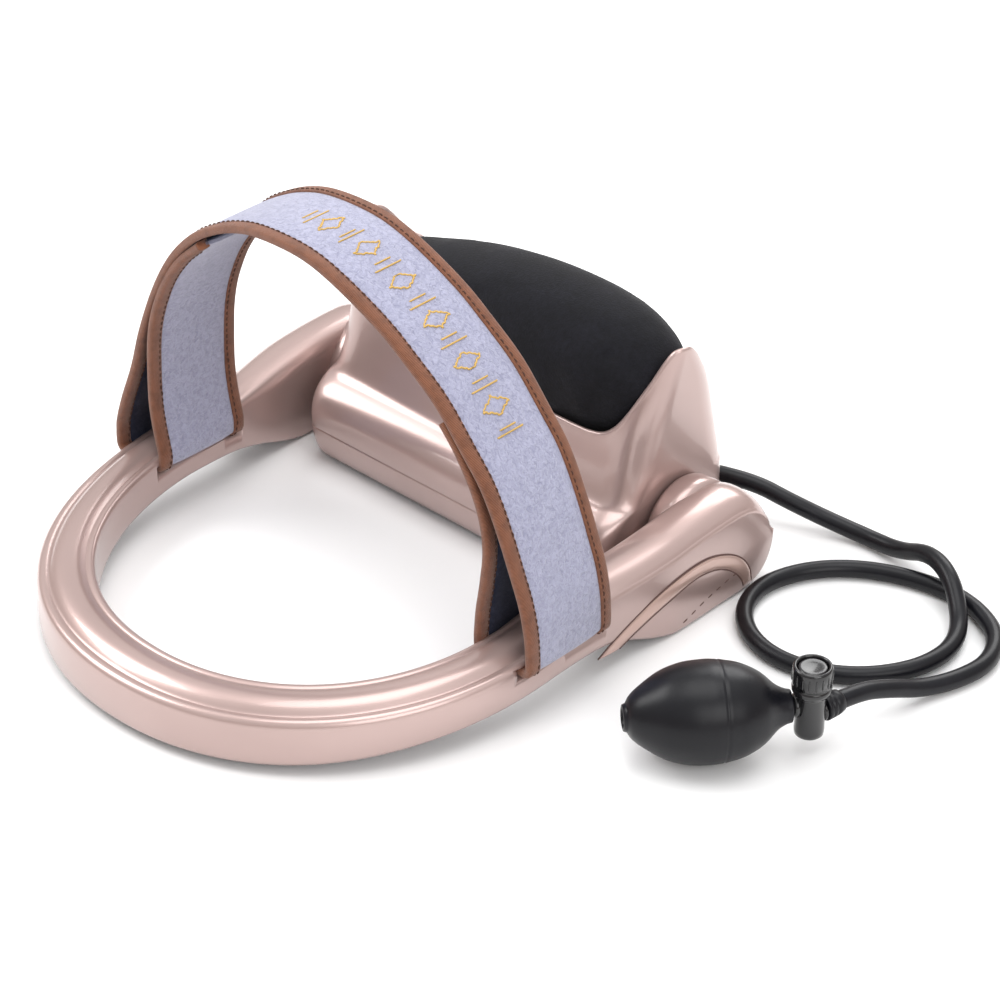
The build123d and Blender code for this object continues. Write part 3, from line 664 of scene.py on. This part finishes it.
ringRows = []
for side, yAt, turn in ringStations():
    section = ringSection(ringBack(yAt, turn))
    ringRows.append([ringPoint(side, yAt, turn, out, height) for out, height in section])
tractionRing = skinRows("tractionRing", np.array(ringRows) * mm, capEnds=True)
faceOutwards(tractionRing, 1e-7)
cutters = []
for side in (-1, 1):
    mid = side * (ring["outer"] + ring["inner"]) / 2 * mm
    bpy.ops.mesh.primitive_cube_add(size=1)
    slot = bpy.context.object
    size = Matrix.Diagonal([length * mm for length in ring["slotSize"]] + [1])
    slot.data.transform(Matrix.Translation((mid, ring["slotY"] * mm, ring["slotZ"] * mm)) @ size)
    cutters.append(slot)
slots = joinPieces("strapSlots", cutters)
cut = tractionRing.modifiers.new("strapSlots", "BOOLEAN")
cut.object = slots
cut.solver = "EXACT"
bakeModifiers(tractionRing)
bpy.data.objects.remove(slots)
bosses = []
for side in (-1, 1):
    bosses.append(turned("hubBoss", np.array([(85.0, 0), (85.0, 18.6), (85.6, 20.0), (87.4, 21.0),
                                              (92, 21.3), (97.5, 21.3), (97.5, 0)]) * mm,
                         (0, ring["pivotY"] * mm, ring["pivotZ"] * mm), (side, 0, 0), 64))
hubBosses = joinPieces("hubBosses", bosses)
place(tractionRing, "traction_frame", "pearl_shell", finishes["pearl_shell"], "traction_frame_shell")
place(hubBosses, "traction_frame", "pearl_shell", finishes["pearl_shell"])
print("ring done")

# cover plate and screws under the ring
coverRows = []
for side, yAt, turn in ringStations():
    if turn is None and yAt > 95.5:
        continue
    low = armHeights(ringBack(yAt, turn))[0]
    plate = ((2.7, low + 0.25), (19.3, low + 0.25), (19.3, low + 1.9), (2.7, low + 1.9))
    coverRows.append([ringPoint(side, yAt, turn, out, height) for out, height in plate])
ringCover = skinRows("ringCover", np.array(coverRows) * mm, capEnds=True)
faceOutwards(ringCover, 1e-7)
place(ringCover, "traction_frame", "inner_plastic", finishes["inner_plastic"], "traction_frame_cover")
heads = []
middle = np.array(coverRows).mean(1)
for share in (0.16, 0.27, 0.385, 0.5, 0.615, 0.73, 0.84):
    at = middle[int(share * (len(middle) - 1))]
    low = armHeights(max(at[1], -127.0))[0]
    heads.append(turned("head", np.array([(-0.4, 0), (-0.4, 2.6), (0.7, 2.5), (1.15, 1.9), (1.2, 0.8),
                                          (0.6, 0.7), (0.6, 0)]) * mm,
                        (at[0] * mm, at[1] * mm, (low + 0.35) * mm), (0, 0, -1), 20))
ringScrews = joinPieces("ringScrews", heads)
place(ringScrews, "traction_frame", "steel", finishes["steel"], "frame_screws")

# arch stripes on the hubs, each a shallow inlay between two dark lines
stripe = {"outer": [(-78, -13.6), (-67, -8.4), (-50.5, -0.2), (-38, 4.2), (-27, 5.6), (-16, 4.6),
                    (-5, 0.4), (3, -5.4), (8, -12.5), (9.5, -19.0)],
          "inner": [(-66, -14.6), (-57, -10.6), (-44, -5.2), (-33, -1.9), (-24, -0.9), (-14.5, -2.4),
                    (-7, -5.8), (-1, -10.5), (3, -15.5), (4.5, -19.2)]}
outerLine, _ = evenLine(smoothLine(stripe["outer"], 10), 90)
innerLine, _ = evenLine(smoothLine(stripe["inner"], 10), 90)
stripes, edgings = [], []
for side in (-1, 1):
    rows = []
    for a, b in zip(outerLine, innerLine):
        row = []
        for t, lift in ((0.0, -0.3), (0.05, 0.1), (0.25, 0.38), (0.5, 0.45), (0.75, 0.38), (0.95, 0.1),
                        (1.0, -0.3)):
            p = a + (b - a) * t
            wall = ring["outer"] + flareAt(ring["pivotY"] + p[0], ring["flare"])
            row.append((side * (wall + lift), ring["pivotY"] + p[0], ring["pivotZ"] + p[1]))
        rows.append(row)
    band = skinRows("stripe", np.array(rows) * mm, capEnds=True)
    faceOutwards(band, 1e-7)
    stripes.append(band)
    for line in (outerLine, innerLine):
        rows = []
        for i, p in enumerate(line):
            q = line[min(i + 1, len(line) - 1)] - line[max(i - 1, 0)]
            n = np.array([-q[1], q[0]]) / (np.hypot(*q) + 1e-9)
            wall = ring["outer"] + flareAt(ring["pivotY"] + p[0], ring["flare"])
            rows.append([(side * (wall + h), ring["pivotY"] + p[0] + n[0] * w,
                          ring["pivotZ"] + p[1] + n[1] * w)
                         for w, h in ((-0.35, -0.2), (-0.3, 0.14), (0.3, 0.14), (0.35, -0.2))])
        edge = skinRows("stripeEdge", np.array(rows) * mm, capEnds=True)
        faceOutwards(edge, 1e-7)
        edgings.append(edge)
armStripes = joinPieces("armStripes", stripes)
stripeEdges = joinPieces("stripeEdges", edgings)
grooveBrown = mouldedPlastic("grooveBrown", (0.12, 0.06, 0.05), 0.55)
place(armStripes, "traction_frame", "trim_pink", finishes["trim_pink"], "arm_trim_left", "arm_trim_right")
place(stripeEdges, "traction_frame", "trim_pink", grooveBrown)
dash = threadShape("dash", 3.4 * mm, 0.5 * mm, 0.0)
dashLines = []
for side in (-1, 1):
    wall = ring["outer"] + ring["flare"] - 0.2
    dashLines.append([Vector((side * wall, y, z)) * mm for y,
                      z in ((66, 4.5), (78, 8.2), (90, 10.8), (101, 12.2))])
hubDashes = setAlong("hubDashes", dashLines, dash, grooveBrown, 4.7 * mm)
bpy.data.objects.remove(dash)
place(hubDashes, "traction_frame", "trim_pink", grooveBrown)
print("stripes done")

# neck-rest base: one moulded shell with a wide shelf, a low saddle and two horns
base = {"wall": 2.4, "shelf": 37.0, "saddle": 62.0, "horn": 101.0,
        "front": [(2.6, 55.2), (6, 53.2), (12, 51.8), (16.4, 51.2), (21, 51), (26, 51.6), (30, 53.2),
                  (33.4, 56), (35.8, 59.5), (37.4, 62.6), (39.2, 64.9), (42, 66.6), (46, 68.2), (52, 70.2),
                  (60, 72.2), (68, 74.4), (76, 77.6), (84, 81.5), (92, 85.5), (100, 89.5), (106, 92)],
        "back": [(2.6, 127.5), (6, 129.6), (12, 130.6), (37, 131), (48, 130.2), (62, 127.5), (74, 123.5),
                 (84, 118.5), (93, 112.5), (100, 107.5), (106, 104)],
        "half": [(2.6, 81), (6, 82.6), (12, 83.3), (37, 84), (60, 84.4), (80, 85.4), (100, 86.5),
                 (106, 86.4)],
        "corner": [(2.6, 8), (34, 10), (37, 11.5), (44, 13.5), (54, 15), (64, 15.5), (74, 14.5),
                   (84, 12.5), (92, 10.5), (100, 8.5), (106, 7)],
        "rim": [(0, 0), (30, 0), (52, 0), (60, 0.012), (66, 0.05), (71, 0.15), (75, 0.32), (78, 0.52),
                (80.5, 0.72), (83, 0.9), (85, 0.985), (87.5, 1.0)]}
baseParts = []
for corner, (px, py) in enumerate(((1, -1), (1, 1), (-1, 1), (-1, -1))):
    start = -math.pi / 2 + corner * math.pi / 2
    for a in np.linspace(start, start + math.pi / 2, 15):
        baseParts.append((px, py, math.cos(a), math.sin(a)))
    step = 13 if corner in (0, 2) else 64
    nextX, nextY = ((1, 1), (-1, 1), (-1, -1), (1, -1))[corner]
    for t in np.linspace(0, 1, step)[1:-1]:
        baseParts.append((px + (nextX - px) * t, py + (nextY - py) * t, math.cos(start + math.pi / 2),
                          math.sin(start + math.pi / 2)))
baseParts = np.array(baseParts)
baseTables = {key: smoothLine(base[key], 8) for key in ("front", "back", "half", "corner", "rim")}


def baseAt(key, at):
    return np.interp(at, baseTables[key][:, 0], baseTables[key][:, 1])


def baseRow(heights, inset):
    front, back = baseAt("front", heights) + inset, baseAt("back", heights) - inset
    half = baseAt("half", heights) - inset
    corner = np.maximum(baseAt("corner", heights) - inset, 1.0)
    corner = np.minimum(corner, (back - front) / 2 - 0.2)
    x = baseParts[:, 0] * (half - corner) + corner * baseParts[:, 2]
    y = (front + back) / 2 + baseParts[:, 1] * ((back - front) / 2 - corner) + corner * baseParts[:, 3]
    return x, y


def baseLevel(share, inset, lift=0.0):
    # share 0 is the shelf, share 1 the rim, which runs low in the saddle and high on the horns
    heights = np.full(len(baseParts), base["shelf"] + share * (base["saddle"] - base["shelf"]))
    for _ in range(40):
        x, y = baseRow(heights, inset)
        rise = baseAt("rim", np.abs(x) + inset)
        rounding = np.where(y > 96, 8.5 * ((y - 96) / 13) ** 2, 3.0 * ((96 - y) / 8) ** 2)
        rim = base["saddle"] + (base["horn"] - base["saddle"]) * rise - np.clip((rise - 0.5) * 2, 0,
                                                                                1) * np.minimum(rounding, 16)
        heights = 0.6 * heights + 0.4 * (base["shelf"] + share * (rim - base["shelf"]))
    x, y = baseRow(heights, inset)
    return np.stack([x, y, heights + lift], 1)


shellRows = []
for height, inset in ((2.6, 0), (4, 0), (6, 0), (9, 0), (12.5, 0), (16.3, 0), (16.6, 0.1), (16.85, 0.55),
                      (17.15, 0.55), (17.4, 0.1), (17.8, 0), (21, 0), (25, 0), (28, 0), (30.5, 0),
                      (32.5, 0), (34.2, 0), (35.5, 0), (36.4, 0)):
    x, y = baseRow(np.full(len(baseParts), height), inset)
    shellRows.append(np.stack([x, y, np.full(len(x), height)], 1))
for share in np.linspace(0, 1, 34) ** 1.25:
    shellRows.append(baseLevel(share, 0.0))
for inset, lift in ((0.05, 0.35), (0.35, 0.85), (0.85, 1.15), (1.4, 1.15), (1.9, 0.85), (2.25, 0.3),
                    (base["wall"], -0.4)):
    shellRows.append(baseLevel(1.0, inset, lift))
for share in (0.9, 0.75, 0.58, 0.4, 0.22):
    shellRows.append(baseLevel(share, base["wall"], -1.0))
for height, inset in ((36, 3.4), (33.5, 3.0), (30, 2.6), (24, base["wall"]), (14, base["wall"]),
                      (2.6, base["wall"])):
    x, y = baseRow(np.full(len(baseParts), height), inset)
    shellRows.append(np.stack([x, y, np.full(len(x), height)], 1))
baseShell = skinRows("neckRestShell", np.array(shellRows) * mm, closeAlong=True)
faceOutwards(baseShell, 1e-7)
place(baseShell, "base", "pearl_shell", finishes["pearl_shell"], "base_upper_shell")
print("base done")

# pillow: cloth blown up over its lower, held half
pillow = {"seam": 52.2, "middleY": 98.0, "cell": 0.005, "pressure": 4.0, "shrink": -0.03, "held": 64.0,
          "rows": [(-80.5, 6, 5, 84), (-76, 12, 10, 82), (-66, 16.5, 16, 79.5), (-44, 22.5, 22.5, 78.5),
                   (-22, 26.5, 27.5, 78), (0, 27.2, 30.8, 78), (22, 27.2, 32.2, 78), (44, 26, 31.4, 78),
                   (60, 23.5, 28.6, 78), (70, 19.5, 23, 78.6), (76.5, 14.5, 16.5, 80.5), (80.5, 7, 8, 83)]}
table = smoothLine(pillow["rows"], 8)
pillowRows = []
for x, a, b, c in table:
    row = []
    for k in range(56):
        angle = 2 * math.pi * k / 56
        u, v = math.cos(angle), math.sin(angle)
        y = pillow["middleY"] + (a - 1.2) * math.copysign(abs(u) ** 0.92, u)
        z = c + (b - 1.2) * math.copysign(abs(v) ** 0.96, v)
        row.append((x, y, max(z, pillow["seam"] + 0.2)))
    pillowRows.append(row)
pillowCloth = skinRows("pillowCloth", np.array(pillowRows) * mm, capEnds=True)
faceOutwards(pillowCloth, 1e-7)


def remeshed(piece, cell):
    voxel = piece.modifiers.new("voxel", "REMESH")
    voxel.mode = "VOXEL"
    voxel.voxel_size = cell
    voxel.use_smooth_shade = True
    relax = piece.modifiers.new("relax", "SMOOTH")
    relax.factor = 0.6
    relax.iterations = 4
    return bakeModifiers(piece)


def blownUp(piece, settings, held, cap):
    # short pressure simulation; what is held stays, and nothing moves further than cap
    before = np.array([v.co for v in piece.data.vertices])
    pins = piece.vertex_groups.new(name="held")
    for v in piece.data.vertices:
        if held(v.co):
            pins.add([v.index], 1.0, "REPLACE")
    cloth = piece.modifiers.new("cloth", "CLOTH")
    cloth.settings.vertex_group_mass = "held"
    cloth.settings.quality = 6
    cloth.settings.mass = 0.15
    cloth.settings.tension_stiffness = 20
    cloth.settings.compression_stiffness = 20
    cloth.settings.bending_stiffness = 0.6
    cloth.settings.use_pressure = True
    cloth.settings.uniform_pressure_force = settings["pressure"]
    cloth.settings.shrink_min = settings["shrink"]
    cloth.settings.effector_weights.gravity = 0.0
    cloth.collision_settings.use_self_collision = False
    cloth.point_cache.frame_start = 1
    cloth.point_cache.frame_end = 20
    for f in range(1, 21):
        scene.frame_set(f)
    graph = bpy.context.evaluated_depsgraph_get()
    mesh = bpy.data.meshes.new_from_object(piece.evaluated_get(graph))
    piece.modifiers.clear()
    piece.data = mesh
    scene.frame_set(1)
    after = np.array([v.co for v in piece.data.vertices])
    move = after - before
    far = np.linalg.norm(move, axis=1)
    after = before + move * np.minimum(1, cap / np.maximum(far, 1e-9))[:, None]
    piece.data.vertices.foreach_set("co", after.ravel())
    piece.data.update()
    print(piece.name, "moved at most", round(float(far.max()) * 1000, 2), "mm")
    return piece


remeshed(pillowCloth, pillow["cell"])
blownUp(pillowCloth, pillow, lambda p: p.z < pillow["held"] * mm, 0.004)


def wrinkled(piece, folds, reach):
    # soft folds pressed along short lines on the surface: (point, direction, length, width, depth)
    bm = bmesh.new()
    bm.from_mesh(piece.data)
    bm.normal_update()
    for point, direction, length, width, depth in folds:
        p, d = Vector(point) * mm, Vector(direction).normalized()
        for v in bm.verts:
            away = v.co - p
            along = away.dot(d) / (length * mm)
            if abs(along) < 1 and away.length < reach * mm:
                side = (away - d * away.dot(d)).length / (width * mm)
                v.co -= v.normal * depth * mm * (1 - along * along) ** 2 * math.exp(-side * side)
    bm.to_mesh(piece.data)
    bm.free()
    return piece


subdivision = pillowCloth.modifiers.new("round", "SUBSURF")
subdivision.levels = subdivision.render_levels = 1
bakeModifiers(pillowCloth)
wrinkled(pillowCloth, [((62, 80, 97), (0.35, -0.35, 0.86), 20, 2.6, 1.3),
                       ((56, 84, 103), (0.5, -0.3, 0.8), 16, 2.2, 0.8),
                       ((-60, 82, 98), (-0.4, -0.3, 0.86), 18, 2.6, 1.0),
                       ((70, 84, 92), (0.2, -0.4, 0.88), 14, 2.0, 0.9)], 34)
for v in pillowCloth.data.vertices:
    v.co.z = max(v.co.z, pillow["seam"] * mm)
pillowCloth.data.shade_smooth()
place(pillowCloth, "pillow", "pillow_knit", finishes["pillow_knit"], "pillow_cover", "pillow_foam")
print("pillow done")

# head band: arch over the ring, through both slots and up again inside
head = {"width": 45.0, "middle": -0.5, "thick": 3.1, "tape": 5.4, "slot": 24.0, "foot": 116.8, "inner": 91.0,
        "arch": [(116.8, 31), (116.2, 41), (113.8, 52), (110, 63), (104.6, 78), (97, 93), (89, 104.5),
                 (70.5, 124), (51.5, 138.6), (36, 147.6), (20, 155), (4, 159.2), (-12, 160.3), (-27, 159),
                 (-39, 155.8), (-50, 151), (-62, 143.2), (-75, 129.5), (-88, 108.5), (-97, 88),
                 (-104.5, 67.5), (-111.5, 50), (-115.8, 38), (-116.8, 31)],
        "tailRight": [(89.4, 31), (90.2, 42), (92.6, 56), (93.8, 69), (91.8, 82), (87, 95), (80, 106),
                      (71.5, 116)],
        "tailLeft": [(-89.4, 31), (-91.4, 42), (-92.8, 56), (-92.4, 70), (-90.2, 86), (-86.2, 101),
                     (-79, 116), (-69, 129.5), (-57.5, 140)]}
archOuter = smoothLine(head["arch"], 14)
tangents = np.gradient(archOuter, axis=0)
tangents /= np.linalg.norm(tangents, axis=1)[:, None]
archMid = archOuter + np.stack([-tangents[:, 1], tangents[:, 0]], 1) * head["thick"] / 2
footX, innerX = head["foot"] - head["thick"] / 2, head["inner"] - head["thick"] / 2
turnInner = [(innerX + 3.2 - 3.2 * math.cos(a),
              head["slot"] + 3.2 - 3.2 * math.sin(a)) for a in np.linspace(0.15, math.pi / 2, 8)]
turnOuter = [(footX - 3.2 + 3.2 * math.sin(a),
              head["slot"] + 3.2 - 3.2 * math.cos(a)) for a in np.linspace(0, math.pi / 2 - 0.15, 8)]
throughSlot = np.array(turnInner + turnOuter)
wholeBand = np.vstack([smoothLine(head["tailRight"], 10)[::-1], throughSlot, archMid,
                       (throughSlot * (-1, 1))[::-1], smoothLine(head["tailLeft"], 10)])
bandLine, bandRun = evenLine(wholeBand, 640)
bandHeading = np.gradient(bandLine, axis=0)
bandHeading /= np.linalg.norm(bandHeading, axis=1)[:, None]
bandOut = np.stack([bandHeading[:, 1], -bandHeading[:, 0]], 1)
print("band length on its line:", round(bandRun[-1], 1), "mm")
edgeWobble = np.array([0.25 * math.sin(s / 17.0) + 0.18 * math.sin(s / 6.1 + 1) for s in bandRun])


def bandStrip(name, section, uv=False, wobble=0.0):
    # section: closed list of (y, distance out from the middle surface)
    rows = []
    for i, (p, n) in enumerate(zip(bandLine, bandOut)):
        rows.append([(p[0] + n[0] * d, y + wobble * edgeWobble[i], p[1] + n[1] * d) for y, d in section])
    piece = skinRows(name, np.array(rows) * mm, capEnds=True)
    faceOutwards(piece, 1e-8)
    if uv:
        layer = piece.data.uv_layers.new(name="tapeMap")
        for loop in piece.data.loops:
            index = loop.vertex_index
            row, column = divmod(index, len(section))
            layer.data[loop.index].uv = (bandRun[min(row, len(bandRun) - 1)], column / len(section))
    return piece


y0, y1 = head["middle"] - head["width"] / 2, head["middle"] + head["width"] / 2
inY0, inY1 = y0 + head["tape"] - 1.0, y1 - head["tape"] + 1.0
crown = []
for t in np.linspace(0, 1, 23):
    crown.append((inY0 + (inY1 - inY0) * t, 0.75 + 0.75 * (1 - (2 * t - 1) ** 4)))
plushStrip = bandStrip("plushStrip", crown + [(inY1, -0.3), (inY0, -0.3)])
place(plushStrip, "traction_frame", "plush", finishes["plush"], "band_plush")
liningUnder = [(inY1 + (inY0 - inY1) * t, -1.05 - 0.12 * math.sin(math.pi * t)) for t in np.linspace(0, 1,
                                                                                                     9)]
liningStrip = bandStrip("liningStrip", [(inY0, -0.35), (inY1, -0.35)] + liningUnder)
place(liningStrip, "traction_frame", "lining", finishes["lining"], "band_lining", "band_hook_patches")
tapes = []
for side, edge in ((1, y0), (-1, y1)):
    w = head["tape"] * side
    section = [(edge + w, 1.5), (edge + w * 0.96, 1.72), (edge + w * 0.55, 1.82), (edge + w * 0.16, 1.75),
               (edge + w * 0.02, 1.3), (edge - w * 0.03, 0.5), (edge - w * 0.03, -0.5),
               (edge + w * 0.02, -1.3), (edge + w * 0.16, -1.7), (edge + w * 0.55, -1.75),
               (edge + w * 0.96, -1.62), (edge + w, -1.4), (edge + w, 0.0)]
    tapes.append(bandStrip("tape" + ("Front" if side > 0 else "Rear"), section, uv=True, wobble=1.0))
place(tapes[0], "traction_frame", "binding", finishes["binding"], "band_binding_front")
place(tapes[1], "traction_frame", "binding", finishes["binding"], "band_binding_rear")
stitch = threadShape("stitchShape", 2.2 * mm, 0.4 * mm, 0.9)
threadBrown = mouldedPlastic("threadBrown", (0.07, 0.024, 0.012), 0.7, 1500, 0.3)
stitchLines = []
for y, wob in ((y0 + 4.5, 1), (y1 - 4.5, 1)):
    for out in (1.86, -1.82):
        stitchLines.append([Vector((p[0] + n[0] * out, y + wob * edgeWobble[i], p[1] + n[1] * out)) * mm
                            for i, (p, n) in enumerate(zip(bandLine, bandOut)) if 6 < i < len(bandLine) - 6])
stitches = setAlong("bandStitches", stitchLines, stitch, threadBrown, 2.9 * mm, 1.0, 0.08, 11)
bpy.data.objects.remove(stitch)
place(stitches, "traction_frame", "binding", threadBrown)
goldThread = mouldedPlastic("goldThread", (0.62, 0.40, 0.11), 0.42, 1500, 0.3, Metallic=0.35)
spots = [i for i, (p, n) in enumerate(zip(bandLine,
                                          bandOut)) if -24 < p[0] < 84 and p[1] > 108 and n[1] > 0.1]


def onBand(along, across):
    i = int(np.argmin(np.abs(bandRun - along)))
    p, n = bandLine[i], bandOut[i]
    return Vector((p[0] + n[0] * 1.55, head["middle"] + across, p[1] + n[1] * 1.55)) * mm


motifLines = []
shapes = (((-3.4, 0), (0, 6.2), (3.4, 0), (0, -6.2), (-3.4, 0)), ((-1.4, -6), (-1.4, 6)),
          ((1.4, -3.4), (1.4, 3.4)))
for count, along in enumerate(np.arange(bandRun[spots[0]], bandRun[spots[-1]], 9.6)):
    for outline in shapes[:1] if count % 2 else shapes[1:]:
        for a, b in zip(outline, outline[1:]):
            motifLines.append([onBand(along + a[0] + (b[0] - a[0]) * t,
                                      a[1] + (b[1] - a[1]) * t) for t in np.linspace(0, 1, 9)])
satin = threadShape("satin", 1.7 * mm, 0.42 * mm, 0.6)
motif = setAlong("bandMotif", motifLines, satin, goldThread, 0.8 * mm)
bpy.data.objects.remove(satin)
place(motif, "traction_frame", "binding", goldThread)
print("band done:", len(stitches.data.polygons), "stitch faces", len(motif.data.polygons), "motif faces")

# floor, world and lights
floor = addMesh("studioFloor", [(-30, -30, 0), (30, -30, 0), (30, 30, 0), (-30, 30, 0)], [(0, 1, 2, 3)])
floor.data.materials.append(newMaterial("floorWhite", (0.9, 0.9, 0.9), 0.9))
light = {"sky": 0.9, "horizon": (0.42, 0.33, 0.29), "key": 22.0, "top": 16.0, "fill": 9.0, "back": 14.0}
world = bpy.data.worlds.new("studioWorld")
world.use_nodes = True
scene.world = world
nodes, links = world.node_tree.nodes, world.node_tree.links
direction = nodes.new("ShaderNodeTexCoord")
split = nodes.new("ShaderNodeSeparateXYZ")
fade = nodes.new("ShaderNodeValToRGB")
fade.color_ramp.elements[0].position = 0.0
fade.color_ramp.elements[0].color = (*light["horizon"], 1)
fade.color_ramp.elements[1].position = 0.6
fade.color_ramp.elements[1].color = (1, 1, 1, 1)
links.new(direction.outputs["Generated"], split.inputs["Vector"])
links.new(split.outputs["Z"], fade.inputs["Fac"])
links.new(fade.outputs["Color"], nodes["Background"].inputs["Color"])
nodes["Background"].inputs["Strength"].default_value = light["sky"]
for name, spot, size, power in (("keyLeft", (-1.3, -0.7, 1.5), 1.1, light["key"]),
                                ("topSoft", (0.2, 0.1, 1.9), 1.3, light["top"]),
                                ("fillRight", (1.5, -0.5, 0.9), 1.0, light["fill"]),
                                ("backSoft", (-0.4, 1.5, 1.2), 1.0, light["back"])):
    data = bpy.data.lights.new(name, "AREA")
    data.energy = power
    data.size = size
    lamp = bpy.data.objects.new(name, data)
    scene.collection.objects.link(lamp)
    lamp.location = spot
    lamp.rotation_euler = (Vector((0, 0, 0.05)) - Vector(spot)).to_track_quat("-Z", "Y").to_euler()
scene.view_settings.view_transform = "Standard"
